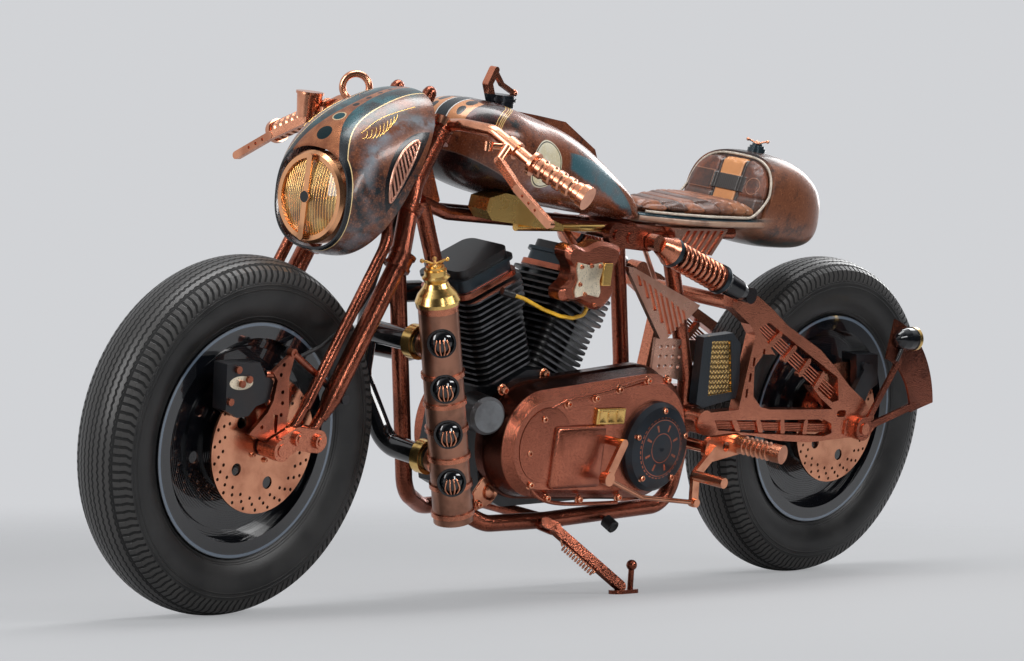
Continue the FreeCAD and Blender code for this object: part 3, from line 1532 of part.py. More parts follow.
air_z = 600.0
air_y = 118.0
air_radius = 78.0
air_depth = 50.0
air_shares = ((0.0, 0.0), (0.0, 1.0), (0.68, 1.0), (0.92, 0.85), (1.0, 0.4), (0.9, 0.36), (0.9, 0.0))
throat_radius = 24.0


@functools.cache
def air_cleaner():
    """The round air cleaner on the right, on its intake throat."""
    centre = V(crank_x, air_y, air_z)
    drum = turned_along(centre, Y_AXIS, [(air_depth * a, air_radius * b) for a, b in air_shares])
    throat = rod(V(crank_x, 0, air_z), centre, throat_radius)
    return joined([drum, throat]).cut([cylinders(), rocker_boxes(), pushrod_tubes()])


coil_x = -156.0
coil_z = 606.0
coil_length = 176.0
coil_height = 138.0
coil_outer_y = -158.0
coil_inner_y = -122.0
# The cover's side outline, as shares of its length and height
coil_shares = (
    (0.06, 0.917), (0.18, 0.955), (0.32, 0.91), (0.53, 0.99), (0.82, 0.97), (0.98, 0.88), (0.92, 0.69),
    (0.865, 0.53), (0.94, 0.33), (0.85, 0.1), (0.69, 0.005), (0.5, 0.067), (0.265, 0.14), (0.04, 0.183),
    (0.02, 0.28), (0.147, 0.44), (0.16, 0.64), (0.053, 0.79),
)
coil_face_in_share = 0.12
coil_face_depth = 8.0
coil_stay_radius = 8.0
coil_stay_share = 0.7


@functools.cache
def coil_cover():
    """The waisted guitar-shaped cover on the left between the cylinders, with its stay."""
    outline = scaled(coil_shares, coil_x, coil_z, coil_length, coil_height)
    back = Part.Face(curved_outline(outline, coil_outer_y + coil_face_depth))
    body = back.extrude(Y_AXIS * (coil_inner_y - coil_outer_y - coil_face_depth))
    middle_x = coil_x + coil_length / 2
    middle_z = coil_z + coil_height / 2
    inset = []
    for x, z in outline:
        inset.append((x + (middle_x - x) * coil_face_in_share, z + (middle_z - z) * coil_face_in_share))
    bevel = Part.makeLoft([curved_outline(outline, coil_outer_y + coil_face_depth),
                           curved_outline(inset, coil_outer_y)], True, True)
    foot = V(middle_x, coil_inner_y - coil_face_depth, coil_z + coil_height * coil_stay_share)
    stay = rod(foot, V(middle_x, tray_outer_y / 2, tank_low_z), coil_stay_radius)
    return joined([body, bevel, stay]).cut([rocker_boxes(), head_and_spine(), tank_tray(), tank()])


# Exhaust

standpipe_radius = 39.0
PIPE_TOP = V(-514.0, -168.0, 621.0)
PIPE_FOOT = V(-394.0, -168.0, 197.0)
PIPE_UP = (PIPE_TOP - PIPE_FOOT).normalize()
PORT_WAY = V(-0.68, -0.73, 0)
port_zs = (280.0, 375.0, 464.0, 553.0)
port_radius = 24.0
port_sink = 10.0
port_lip = 5.0
port_lip_wall = 4.0
band_zs = (215.0, 271.0, 327.0, 383.0, 434.0, 489.0)
band_height = 9.0
band_rise = 3.5
crown_height = 66.0
crown_radius = 44.0
# The crown's turned outline, as shares of its height and radius
crown_shares = ((0.0, 0.0), (0.0, 0.95), (0.18, 1.0), (0.39, 0.86), (0.6, 0.6), (0.73, 0.5), (0.88, 0.62),
                (1.0, 0.42), (1.0, 0.0))
stub_zs = (313.0, 540.0)
stub_radius = 27.0
stub_length = 70.0
stub_lead = 6.0
stub_collar_radius = 34.0
stub_collar_thickness = 22.0
header_radius = 22.0
header_gap = 1.0
header_bend = 60.0


def pipe_at(z):
    """The point of the standpipe's axis at a height."""
    return PIPE_FOOT + PIPE_UP * ((z - PIPE_FOOT.z) / PIPE_UP.z)


@functools.cache
def standpipe():
    """The leaning standpipe silencer with round side ports, bands, crown and stubs."""
    shapes = [rod(PIPE_FOOT, PIPE_TOP, standpipe_radius)]
    crown = [(crown_height * a, crown_radius * b) for a, b in crown_shares]
    shapes.append(turned_along(PIPE_TOP, PIPE_UP, crown))
    for z in band_zs:
        shapes.append(disc(pipe_at(z), PIPE_UP, standpipe_radius + band_rise, band_height))
    for z in stub_zs:
        at = pipe_at(z)
        end = at + V(-stub_lead, stub_length, 0)
        shapes.append(rod(at, end, stub_radius))
        shapes.append(disc(end - Y_AXIS * (stub_collar_thickness / 2), Y_AXIS, stub_collar_radius,
                           stub_collar_thickness))
    ports = []
    for z in port_zs:
        lip_at = pipe_at(z) + PORT_WAY * (standpipe_radius + port_lip)
        shapes.append(rod(pipe_at(z), lip_at, port_radius + port_lip_wall))
        sunk_at = lip_at - PORT_WAY * (port_sink + port_lip)
        ports.append(rod(sunk_at, lip_at + PORT_WAY * port_sink, port_radius))
    return joined(shapes).cut(ports)


def header_start(z):
    """Where a header pipe meets the standpipe's stub."""
    return pipe_at(z) + V(-stub_lead, stub_length + header_gap, 0)


# Corners of the header pipes after the standpipe
low_header_way = [V(-452.0, 74.0, 440.0), V(-420.0, 96.0, 600.0), V(-300.0, 88.0, 604.0)]
high_header_way = [V(-430.0, 140.0, 500.0), V(-240.0, 152.0, 470.0), V(0, 148.0, 560.0), V(20.0, 84.0, 600.0)]
low_header_rise = 4.0
high_header_out = 10.0


def header_pipes():
    """The two header pipes that cross ahead of the down tubes to the standpipe."""
    low_end = header_start(stub_zs[0])
    high_end = header_start(stub_zs[1])
    low = [low_end, V(low_end.x, 0, low_end.z + low_header_rise)] + low_header_way
    high = [high_end, V(high_end.x, high_header_out, high_end.z)] + high_header_way
    around = [cylinders(), rocker_boxes(), head_and_spine(), rails(), standpipe()]
    shapes = [bent_tube(low, header_radius, header_bend).cut(around)]
    around += [air_cleaner(), cam_cover(), pushrod_tubes()]
    shapes.append(bent_tube(high, header_radius, header_bend).cut(around))
    return Part.makeCompound(shapes)


FILTER_START = V(-262.0, -60.0, 392.0)
FILTER_ROOT = V(-215.0, -40.0, 380.0)
FILTER_WAY = V(-0.33, -0.944, 0)
filter_radius = 38.0
filter_length = 74.0
filter_neck_radius = 20.0
filter_shares = ((0.0, 0.0), (0.0, 1.0), (0.89, 1.0), (1.0, 0.84), (1.0, 0.0))


def oil_filter():
    """The oil filter can ahead of the crankcase."""
    profile = [(filter_length * a, filter_radius * b) for a, b in filter_shares]
    can = turned_along(FILTER_START, FILTER_WAY, profile)
    stalk = rod(FILTER_ROOT, FILTER_START, filter_neck_radius)
    return joined([can, stalk]).cut([engine_case(), cylinders(), rails(), primary_cover(), standpipe()])


# Cords and hoses

lead_radius = 4.0
lead_bend = 25.0
boot_radius = 8.0
boot_length = 30.0
# The spark plug lead's route, from the front plug under the coil cover to the rear plug
LEAD_ROUTE = [
    V(-238.0, -94.0, 631.0), V(-200.0, -104.0, 622.0), V(-150.0, -112.0, 602.0), V(-100.0, -114.0, 588.0),
    V(-58.0, -112.0, 583.0), V(-22.0, -108.0, 588.0), V(2.0, -100.0, 612.0),
]
hose_radius = 4.0
hose_bend = 30.0
# The brake hose's route from the lower yoke down behind the left leg to the caliper
HOSE_ROUTE = [
    V(-519.0, -40.0, 779.0), V(-556.0, -52.0, 706.0), V(-604.0, -78.0, 640.0), V(-668.0, -92.0, 578.0),
    V(-742.0, -96.0, 532.0), V(-812.0, -98.0, 508.0), V(-862.0, -98.0, 496.0),
]


def corner_radii(points, bend):
    """The bend radius that each corner of a route gets."""
    radii = []
    for before, corner, after in zip(points, points[1:], points[2:]):
        half = (before - corner).getAngle(after - corner) / 2
        shorter = min((before - corner).Length, (after - corner).Length)
        radii.append(round(min(bend, corner_reach_share * shorter * math.tan(half)), 1))
    return radii


def plug_lead():
    """The yellow plug lead with a boot on the plug at each end."""
    shapes = [bent_tube(LEAD_ROUTE, lead_radius, lead_bend)]
    for end, after in ((LEAD_ROUTE[0], LEAD_ROUTE[1]), (LEAD_ROUTE[-1], LEAD_ROUTE[-2])):
        way = (after - end).normalize()
        shapes.append(rod(end - way * (boot_length / 2), end + way * (boot_length / 2), boot_radius))
    return joined(shapes).cut([cylinders(), rocker_boxes(), coil_cover()])


def brake_hose():
    """The front brake hose from the lower yoke to the caliper's bracket."""
    return bent_tube(HOSE_ROUTE, hose_radius, hose_bend).cut(fork_yokes())


print("plug lead corner radii", corner_radii(LEAD_ROUTE, lead_bend))
print("brake hose corner radii", corner_radii(HOSE_ROUTE, hose_bend))


# Foot controls

peg_root_x = 332.0
peg_root_z = 322.0
peg_root_radius = 12.0
peg_x = 412.0
peg_z = 331.0
peg_inner_y = 198.0
peg_outer_y = 306.0
peg_sweep = 20.0
peg_drop = 3.0
peg_radius = 20.0
peg_grooves = 6
peg_groove_depth = 4.0
peg_collar_share = 0.2
peg_groove_shares = (0.25, 0.75)
hanger_y = 186.0
hanger_thickness = 12.0
hanger_root_radius = 26.0
hanger_end_radius = 22.0
hanger_hole_radius = 10.0


def foot_pegs():
    """The rider's pegs on their hanger plates, each on a stub from the frame."""
    shapes = []
    for side in SIDES:
        inner = V(peg_x, side * peg_inner_y, peg_z)
        outer = V(peg_x + peg_sweep, side * peg_outer_y, peg_z - peg_drop)
        length = (outer - inner).Length
        profile = [(0, 0), (0, peg_radius), (length * peg_collar_share, peg_radius)]
        pitch = length * (1 - 2 * peg_collar_share) / peg_grooves
        for step in range(peg_grooves):
            start = length * peg_collar_share + step * pitch
            for share in peg_groove_shares:
                profile.append((start + share * pitch, peg_radius - peg_groove_depth))
            profile.append((start + pitch, peg_radius))
        profile += [(length, peg_radius), (length, 0)]
        peg = turned_along(inner - Y_AXIS * (side * hanger_thickness / 2), outer - inner, profile)
        low, high = sorted((side * hanger_y, side * (hanger_y + hanger_thickness)))
        root_at = V(peg_root_x, 0, peg_root_z)
        hanger = two_circle_plate(V(peg_x, 0, peg_z), hanger_end_radius, root_at, hanger_root_radius,
                                  low, high)
        hole_at = (V(peg_x, 0, peg_z) + root_at) / 2 + Y_AXIS * ((low + high) / 2)
        hanger = hanger.cut(disc(hole_at, Y_AXIS, hanger_hole_radius, 2 * hanger_thickness))
        root = rod(V(peg_root_x, side * cradle_half_width, peg_root_z),
                   V(peg_root_x, side * (hanger_y + hanger_thickness), peg_root_z), peg_root_radius)
        tube = bent_tube(cradle_points(side), down_tube_radius + seam_gap, cradle_bend_radius)
        shapes.append(joined([peg, hanger, root]).cut(tube))
    return Part.makeCompound(shapes)


linkage_y = -204.0
linkage_plate = 9.0
linkage_rod_radius = 5.0
linkage_joint_radius = 9.0
SHIFT_TOP = V(39.0, linkage_y, 343.0)
SHIFT_LOW = V(3.0, linkage_y, 273.0)
SHIFT_RISE = V(118.0, linkage_y, 231.0)
SHIFT_REAR = V(284.0, linkage_y, 214.0)
SHIFT_EYE = V(278.0, linkage_y, 270.0)
shift_block_radius = 14.0
shift_lever_width = 20.0
toe_peg_radius = 11.0
toe_peg_length = 78.0
pedal_y = 206.0
PEDAL_ELBOW = V(222.0, pedal_y, 262.0)
PEDAL_TOE = V(160.0, pedal_y, 268.0)
pedal_width = 18.0


def foot_levers():
    """The shift lever with its rod on the left and the brake pedal on the right."""
    pivot = V(peg_root_x, linkage_y, peg_root_z)
    hanger_face = hanger_y + hanger_thickness + seam_gap
    left = [flat_bar([SHIFT_TOP, SHIFT_LOW], shift_lever_width, linkage_plate, Y_AXIS)]
    left.append(rod(V(SHIFT_TOP.x, primary_face_y - seam_gap, SHIFT_TOP.z), SHIFT_TOP, linkage_joint_radius))
    left.append(disc(SHIFT_LOW, Y_AXIS, shift_block_radius, 2 * linkage_plate))
    left.append(rod(SHIFT_LOW, SHIFT_RISE, linkage_rod_radius))
    left.append(rod(SHIFT_RISE, SHIFT_REAR, linkage_rod_radius))
    left.append(Part.makeSphere(linkage_rod_radius, SHIFT_RISE))
    left.append(disc(SHIFT_REAR, Y_AXIS, linkage_joint_radius, 2 * linkage_plate))
    arm_y = -hanger_face - linkage_plate / 2
    arm = [V(point.x, arm_y, point.z) for point in (SHIFT_REAR, SHIFT_EYE, pivot)]
    left.append(flat_bar(arm, shift_lever_width, linkage_plate, Y_AXIS))
    left.append(rod(SHIFT_EYE, SHIFT_EYE - Y_AXIS * toe_peg_length, toe_peg_radius))
    arm_y = hanger_face + linkage_plate / 2
    right_pivot = V(peg_root_x, arm_y, peg_root_z)
    pedal = [right_pivot, V(PEDAL_ELBOW.x, arm_y, PEDAL_ELBOW.z), V(PEDAL_TOE.x, arm_y, PEDAL_TOE.z)]
    right = [flat_bar(pedal, pedal_width, linkage_plate, Y_AXIS)]
    right.append(rod(V(PEDAL_TOE.x, arm_y, PEDAL_TOE.z),
                     V(PEDAL_TOE.x, arm_y + toe_peg_length, PEDAL_TOE.z), toe_peg_radius))
    return Part.makeCompound([joined(left), joined(right)])


# Rear suspension

swing_inner_y = 122.0
swing_outer_y = 148.0
swing_x = 318.0
swing_z = 316.0
swing_length = 610.0
swing_height = 330.0
# The truss plate's outline, then its windows, as shares of its length and height
swing_shares = (
    (0.02, 0.094), (0.0, 0.17), (0.028, 0.215), (0.23, 0.23), (0.251, 0.506), (0.267, 0.706), (0.231, 0.776),
    (0.125, 0.885), (0.121, 0.958), (0.174, 0.997), (0.256, 0.955), (0.346, 0.867), (0.438, 0.764),
    (0.539, 0.682), (0.636, 0.603), (0.738, 0.479), (0.823, 0.364), (0.925, 0.258), (0.979, 0.164),
    (1.0, 0.079), (0.966, 0.009), (0.862, 0.021), (0.769, 0.012), (0.63, 0.0), (0.466, 0.021),
    (0.311, 0.064), (0.069, 0.073),
)
low_window_shares = (
    (0.11, 0.167), (0.707, 0.148), (0.751, 0.118), (0.759, 0.055), (0.72, 0.036), (0.311, 0.076),
    (0.134, 0.103),
)
high_window_shares = (
    (0.28, 0.748), (0.333, 0.788), (0.751, 0.421), (0.774, 0.27), (0.741, 0.258), (0.403, 0.555),
)
arch_window_shares = (
    (0.285, 0.503), (0.3, 0.315), (0.348, 0.242), (0.402, 0.224), (0.746, 0.212), (0.666, 0.294),
    (0.582, 0.415), (0.479, 0.5), (0.379, 0.582), (0.323, 0.582),
)
arch_slot_shares = ((0.279, 0.536), (0.27, 0.436), (0.262, 0.336), (0.326, 0.594))
arch_slot_width = 7.0
arch_slot_length = 12.0
oval_hole_x = 806.0
oval_hole_z = 376.0
oval_hole_length = 16.0
oval_hole_width = 15.0
# The first and last place of the outer rods in each window
low_rod_shares = ((0.104, 0.155), (0.13, 0.112), (0.752, 0.105), (0.745, 0.06))
high_rod_shares = ((0.322, 0.786), (0.284, 0.742), (0.768, 0.335), (0.745, 0.262))
rod_count = 5
rod_radius = 2.4
clip_count = 4
clip_width = 13.0
clip_reach = 4.0
clip_thickness = 12.0
swing_boss_radius = 24.0
shock_foot_x = 412.0
shock_foot_z = 638.0
shock_foot_y = 168.0
shock_seat_radius = 20.0
shock_seat_y = 154.0
swing_bridge_x = 424.0
swing_bridge_z = 612.0
swing_bridge_radius = 15.0
axle_left_y = -172.0
axle_right_y = 162.0
axle_washer_radius = 26.0
axle_washer_thickness = 12.0
rotor_side_gap = 5.3
adjuster_x = 820.0
adjuster_z = 361.0
adjuster_length = 87.0
adjuster_height = 30.0


def swing_point(share, y):
    """A place on the truss plate from its shares."""
    return V(swing_x + share[0] * swing_length, y, swing_z + share[1] * swing_height)


def window_rods(corners, y):
    """Five slim rods along a window, held by four clips."""
    first, second, third, fourth = [swing_point(share, y) for share in corners]
    starts = [first + (second - first) * (step / (rod_count - 1)) for step in range(rod_count)]
    ends = [third + (fourth - third) * (step / (rod_count - 1)) for step in range(rod_count)]
    shapes = []
    for start, end in zip(starts, ends):
        shapes.append(rod(start, end, rod_radius))
    for step in range(clip_count):
        share = (step + 1) / (clip_count + 1)
        top = starts[0] + (ends[0] - starts[0]) * share
        low = starts[-1] + (ends[-1] - starts[-1]) * share
        reach = (top - low).normalize() * clip_reach
        shapes.append(flat_bar([top + reach, low - reach], clip_width, clip_thickness, Y_AXIS))
    return shapes


def swing_plate(side):
    """One side of the swingarm: a pierced truss plate with its rods and bosses."""
    low, high = sorted((side * swing_inner_y, side * swing_outer_y))
    plate = side_plate(scaled(swing_shares, swing_x, swing_z, swing_length, swing_height), low, high)
    holes = []
    for shares in (low_window_shares, high_window_shares, arch_window_shares):
        outline = scaled(shares, swing_x, swing_z, swing_length, swing_height)
        holes.append(side_plate(outline, low - overrun, high + overrun))
    middle_y = (low + high) / 2
    for share in arch_slot_shares:
        at = swing_point(share, middle_y)
        half = Z_AXIS * (arch_slot_length / 2)
        holes.append(flat_bar([at - half, at + half], arch_slot_width, high - low + overrun, Y_AXIS))
    oval = V(oval_hole_x, middle_y, oval_hole_z)
    holes.append(flat_bar([oval - X_AXIS * (oval_hole_length / 2), oval + X_AXIS * (oval_hole_length / 2)],
                          oval_hole_width, high - low + overrun, Y_AXIS))
    shapes = [plate.cut(holes)]
    shapes += window_rods(low_rod_shares, middle_y)
    shapes += window_rods(high_rod_shares, middle_y)
    shapes.append(rod(V(swing_pivot_x, side * (pivot_lug_outer_y + seam_gap), swing_pivot_z),
                      V(swing_pivot_x, side * (swing_outer_y + overrun), swing_pivot_z), swing_boss_radius))
    shapes.append(rod(V(shock_foot_x, side * swing_inner_y, shock_foot_z),
                      V(shock_foot_x, side * shock_seat_y, shock_foot_z), shock_seat_radius))
    block_low, block_high = sorted((side * swing_outer_y, side * (swing_outer_y + overrun)))
    corners = ((0, -1), (1, -1), (1, 0), (0, 0))
    block = scaled(corners, adjuster_x, adjuster_z, adjuster_length, adjuster_height)
    shapes.append(side_plate(block, block_low, block_high))
    return joined(shapes)


@functools.cache
def swingarm():
    """The trussed swingarm with its cross tube, the rear axle and its spacers."""
    shapes = [swing_plate(side) for side in SIDES]
    at = V(rear_axle_x, 0, axle_height)
    shapes.append(rod(at + Y_AXIS * axle_left_y, at + Y_AXIS * axle_right_y, axle_radius))
    spacer_end = rear_rotor_y - rotor_thickness / 2 - rotor_side_gap
    shapes.append(rod(at - Y_AXIS * swing_inner_y, at + Y_AXIS * spacer_end, axle_spacer_radius))
    shapes.append(disc(at - Y_AXIS * (swing_outer_y + axle_washer_thickness / 2), Y_AXIS, axle_washer_radius,
                       axle_washer_thickness))
    bridge = V(swing_bridge_x, 0, swing_bridge_z)
    shapes.append(rod(bridge - Y_AXIS * swing_inner_y, bridge + Y_AXIS * swing_inner_y, swing_bridge_radius))
    return joined(shapes)


SHOCK_TOP = V(shock_top_x, 132.0, shock_top_z)
SHOCK_FOOT = V(shock_foot_x, shock_foot_y, shock_foot_z)
shock_cap_radius = 31.0
coil_turns = 9
coil_ring_radius = 25.0
coil_wire_radius = 4.6
shock_eye_radius = 17.0
shock_eye_width = 24.0
# The shock's turned body: distances along as shares of its length, radii as shares of the cap
shock_shares = (
    (0.05, 0.0), (0.05, 0.58), (0.125, 0.8), (0.17, 1.0), (0.2, 1.0), (0.205, 0.52), (0.67, 0.52),
    (0.675, 1.0), (0.71, 1.0), (0.75, 0.78), (0.9, 0.68), (0.95, 0.52), (0.95, 0.0),
)
# Which of those points the spring starts and ends at
spring_first = 4
spring_last = 7


@functools.cache
def shocks():
    """The two coil-over shocks, lying nearly flat."""
    shapes = []
    for side in SIDES:
        top = flipped(SHOCK_TOP, side)
        foot = flipped(SHOCK_FOOT, side)
        way = (foot - top).normalize()
        length = (foot - top).Length
        body = turned_along(top, way, [(length * a, shock_cap_radius * b) for a, b in shock_shares])
        eyes = [disc(top, Y_AXIS, shock_eye_radius, shock_eye_width),
                disc(foot, Y_AXIS, shock_eye_radius, shock_eye_width)]
        shapes.append(joined([body] + eyes).cut([head_and_spine(), swingarm()]))
        low = length * shock_shares[spring_first][0] + coil_wire_radius + seam_gap
        high = length * shock_shares[spring_last][0] - coil_wire_radius - seam_gap
        helix = Part.makeHelix((high - low) / coil_turns, high - low, coil_ring_radius)
        profile = Part.Wire([Part.makeCircle(coil_wire_radius, V(coil_ring_radius, 0, 0), Y_AXIS)])
        spring = Part.Wire(helix).makePipeShell([profile], True, True)
        spring.Placement = FreeCAD.Placement(top + way * low, FreeCAD.Rotation(Z_AXIS, way))
        shapes.append(spring)
    return Part.makeCompound(shapes)


caliper_rear_x = 876.0
caliper_rear_z = 414.0
caliper_rear_long = 88.0
caliper_rear_high = 83.0
caliper_rear_shares = ((0.0, 1.0), (0.841, 0.988), (1.0, 0.205), (0.55, -0.05), (0.205, 0.0))
caliper_rear_low_y = -113.0
caliper_rear_high_y = -72.0
caliper_ear_radius = 22.0
caliper_arm_radius = 27.0
caliper_arm_inner_y = -121.0
fitting_radius = 8.0
fitting_height = 8.0
fitting_shares = ((0.3, 0.7), (0.72, 0.4))


def rear_caliper():
    """The rear caliper over the rotor's rim, on an arm round the axle spacer."""
    rotor_at = V(rear_axle_x, rear_rotor_y, axle_height)
    outline = scaled(caliper_rear_shares, caliper_rear_x, caliper_rear_z, caliper_rear_long,
                     caliper_rear_high)
    body = side_plate(outline, caliper_rear_low_y, caliper_rear_high_y)
    slot = disc(rotor_at, Y_AXIS, rotor_radius + caliper_bridge_gap, rotor_thickness + 2 * caliper_bridge_gap)
    middle = V(caliper_rear_x + caliper_rear_long / 2, 0, caliper_rear_z + caliper_rear_high / 2)
    arm = two_circle_plate(rotor_at, caliper_arm_radius, middle, caliper_ear_radius,
                           caliper_arm_inner_y, caliper_rear_low_y + overrun)
    shapes = [body.cut(slot), arm.cut(slot)]
    for x, z in scaled(fitting_shares, caliper_rear_x, caliper_rear_z, caliper_rear_long, caliper_rear_high):
        shapes.append(rod(V(x, caliper_rear_low_y + overrun, z), V(x, caliper_rear_low_y - fitting_height, z),
                          fitting_radius))
    return joined(shapes).cut([swingarm()])


# Side boxes, rear plate and lamps

box_x = 332.0
box_z = 396.0
box_length = 143.0
box_height = 156.0
box_outer_y = -134.0
box_inner_y = -113.0
box_shares = (
    (0.0, 0.949), (0.65, 1.0), (0.853, 0.853), (0.97, 0.13), (0.741, 0.09), (0.189, 0.0), (0.028, 0.051),
)
mesh_shares = ((0.2, 0.891), (0.62, 0.897), (0.8, 0.2), (0.26, 0.154))
mesh_depth = 4.0


@functools.cache
def side_box():
    """The side box behind the gearbox, with its sunk grille."""
    box = side_plate(scaled(box_shares, box_x, box_z, box_length, box_height), box_outer_y, box_inner_y)
    sunk = side_plate(scaled(mesh_shares, box_x, box_z, box_length, box_height),
                      box_outer_y - overrun, box_outer_y + mesh_depth)
    stay_at = V(swing_pivot_x, box_inner_y, box_z + box_height / 2)
    stay_end = V(swing_pivot_x, -cradle_half_width + down_tube_radius, stay_at.z)
    stay = rod(stay_at, stay_end, stand_pin_radius)
    return joined([box.cut(sunk), stay]).cut([swingarm(), rails()])


grille_x = 70.0
grille_z = 540.0
grille_length = 240.0
grille_height = 150.0
grille_outer_y = -131.0
grille_inner_y = -121.0
grille_shares = (
    (0.0, 1.0), (0.083, 0.985), (1.0, 0.467), (0.96, 0.4), (0.61, 0.0), (0.53, 0.01), (0.02, 0.93),
)
grille_slat_count = 9
# The slots of the triangle, as shares of its length and height: start, run, top, drop of the
# top from slot to slot, length of the first one and growth, and the slope of their ends
slat_start_share = 0.12
slat_row_share = 0.72
slat_top_share = 0.9
slat_drop_share = 0.06
slat_run_share = 0.16
slat_grow_share = 0.11
slat_end_share = 0.25
grille_stay_share = 0.62
grille_slot_share = 0.5
grille_slot_depth = 6.0
panel_x = 225.0
panel_z = 445.0
panel_length = 160.0
panel_height = 92.0
panel_outer_y = -97.0
panel_inner_y = -90.0
panel_shares = ((0.0, 1.0), (0.95, 0.924), (0.66, 0.0), (0.0, 0.2))
panel_hole_radius = 5.0
panel_hole_pitch = 20.0
panel_hole_rows = 3
panel_hole_columns = 4


def louvred_triangle():
    """The louvred triangle above the gearbox, on its stay."""
    outline = scaled(grille_shares, grille_x, grille_z, grille_length, grille_height)
    triangle = side_plate(outline, grille_outer_y, grille_inner_y)
    pitch = grille_length * slat_row_share / grille_slat_count
    wide = grille_slot_share * pitch
    slots = []
    for step in range(grille_slat_count):
        x = grille_x + grille_length * slat_start_share + step * pitch
        z = grille_z + grille_height * (slat_top_share - slat_drop_share * step)
        grown = min(step, grille_slat_count - step)
        run = grille_height * (slat_run_share + slat_grow_share * grown)
        corners = [(x, z), (x + wide, z - slat_end_share * pitch), (x + run / 2 + wide, z - run),
                   (x + run / 2, z - run)]
        slots.append(side_plate(corners, grille_outer_y - overrun, grille_outer_y + grille_slot_depth))
    stay_x = grille_x + grille_length / 2
    stay_at = V(stay_x, grille_inner_y, grille_z + grille_height * grille_stay_share)
    stay = rod(stay_at, V(stay_x, -spine_mid_y, spine_z), stand_pin_radius)
    return joined([triangle.cut(slots), stay])


def drilled_panel():
    """The small panel of round holes behind the clutch."""
    outline = scaled(panel_shares, panel_x, panel_z, panel_length, panel_height)
    holes = []
    for row in range(panel_hole_rows):
        z = panel_z + panel_height - panel_hole_pitch * (row + 1)
        for column in range(panel_hole_columns):
            x = panel_x + panel_hole_pitch * (column + 1)
            holes.append(rod(V(x, panel_outer_y - overrun, z), V(x, panel_inner_y + overrun, z),
                             panel_hole_radius))
    return side_plate(outline, panel_outer_y, panel_inner_y).cut(holes)


def side_grilles():
    """The louvred triangle, the drilled panel and the seat louvre, on the left."""
    around = [head_and_spine(), rails(), shocks(), side_box(), engine_case(), primary_cover(), swingarm()]
    shapes = [louvred_triangle(), drilled_panel(), seat_louvre()]
    return Part.makeCompound([shape.cut(around) for shape in shapes])


plate_inner_radius = tyre_radius - 187.0
plate_outer_radius = tyre_radius - 99.0
plate_sweep_deg = 62.0
plate_start_deg = 12.0
plate_outer_y = -168.0
plate_inner_y = -163.0
plate_lean = 8.0
arm_thickness = 6.0
arm_width = 15.0
# The plate's two arms: turns up from level and their reach as a share of the plate's inner edge
plate_arm_turns_deg = (58.0, 16.0)


@functools.cache
def rear_plate():
    """The curved plate beside the tyre, on two arms from the axle."""
    profile = [V(rear_axle_x, plate_outer_y, axle_height + plate_inner_radius),
               V(rear_axle_x, plate_inner_y, axle_height + plate_inner_radius),
               V(rear_axle_x, plate_inner_y + plate_lean, axle_height + plate_outer_radius),
               V(rear_axle_x, plate_outer_y + plate_lean, axle_height + plate_outer_radius)]
    face = Part.Face(Part.makePolygon(profile + [profile[0]]))
    sheet = face.revolve(V(rear_axle_x, 0, axle_height), Y_AXIS, plate_sweep_deg)
    sheet.rotate(V(rear_axle_x, 0, axle_height), Y_AXIS,
                 quarter_turn_deg - plate_sweep_deg - plate_start_deg)
    shapes = [sheet]
    hub = V(rear_axle_x, plate_outer_y + arm_thickness / 2, axle_height)
    for turn_deg in plate_arm_turns_deg:
        turn = math.radians(turn_deg)
        way = V(math.cos(turn), 0, math.sin(turn))
        end = hub + way * (plate_inner_radius + arm_width)
        shapes.append(flat_bar([hub, end], arm_width, arm_thickness, Y_AXIS))
    shapes.append(disc(hub, Y_AXIS, axle_washer_radius, arm_thickness))
    return joined(shapes).cut(swingarm())


lamp_x = 926.0
lamp_y = 172.0
lamp_z = 540.0
lamp_length = 72.0
lamp_radius = 26.0
lamp_stalk_radius = 5.0
lamp_shares = (
    (0.0, 0.0), (0.08, 0.46), (0.25, 0.77), (0.5, 0.92), (0.78, 0.92), (0.8, 1.0), (0.92, 1.0),
    (0.97, 0.77), (1.0, 0.0),
)
left_stalk_foot = V(946.0, -168.0, 492.0)
right_stalk_foot = V(886.0, 151.0, 384.0)


def indicators():
    """A bullet indicator each side on a stalk."""
    shapes = []
    for side, foot in ((-1, left_stalk_foot), (1, right_stalk_foot)):
        nose = V(lamp_x, side * lamp_y, lamp_z)
        bulb = turned_along(nose, X_AXIS, [(lamp_length * a, lamp_radius * b) for a, b in lamp_shares])
        stalk = rod(nose + X_AXIS * (lamp_length / 2), foot, lamp_stalk_radius)
        shapes.append(joined([bulb, stalk]).cut([rear_plate(), swingarm()]))
    return Part.makeCompound(shapes)


chain_outer_grow = 9.0
chain_inner_grow = 1.0
chain_half_width = 5.0


def chain_band(grow, half_width):
    """A plate tight round both sprockets, grown by an amount."""
    rear = V(rear_axle_x, 0, axle_height)
    front = V(output_x, 0, output_z)
    return two_circle_plate(rear, sprocket_radius + grow, front, output_sprocket_radius + grow,
                            sprocket_y - half_width, sprocket_y + half_width)


def chain():
    """The drive chain as a closed band round both sprockets."""
    outer = chain_band(chain_outer_grow, chain_half_width)
    return outer.cut(chain_band(chain_inner_grow, chain_half_width + overrun))


# Side stand

pad_width = 34.0
stand_pad_thickness = 8.0
pad_fore = 6.0
pad_aft = 34.0
stand_ball_radius = 11.0
stand_neck_radius = 6.0
stand_ball_aft = 28.0
stand_ball_up = 42.0


def on_ground(x, y):
    """The point of the leaned bike's ground under a place beside the upright bike."""
    lean = math.radians(lean_deg)
    return V(x, y, -(y * math.sin(lean) + place_z) / math.cos(lean))


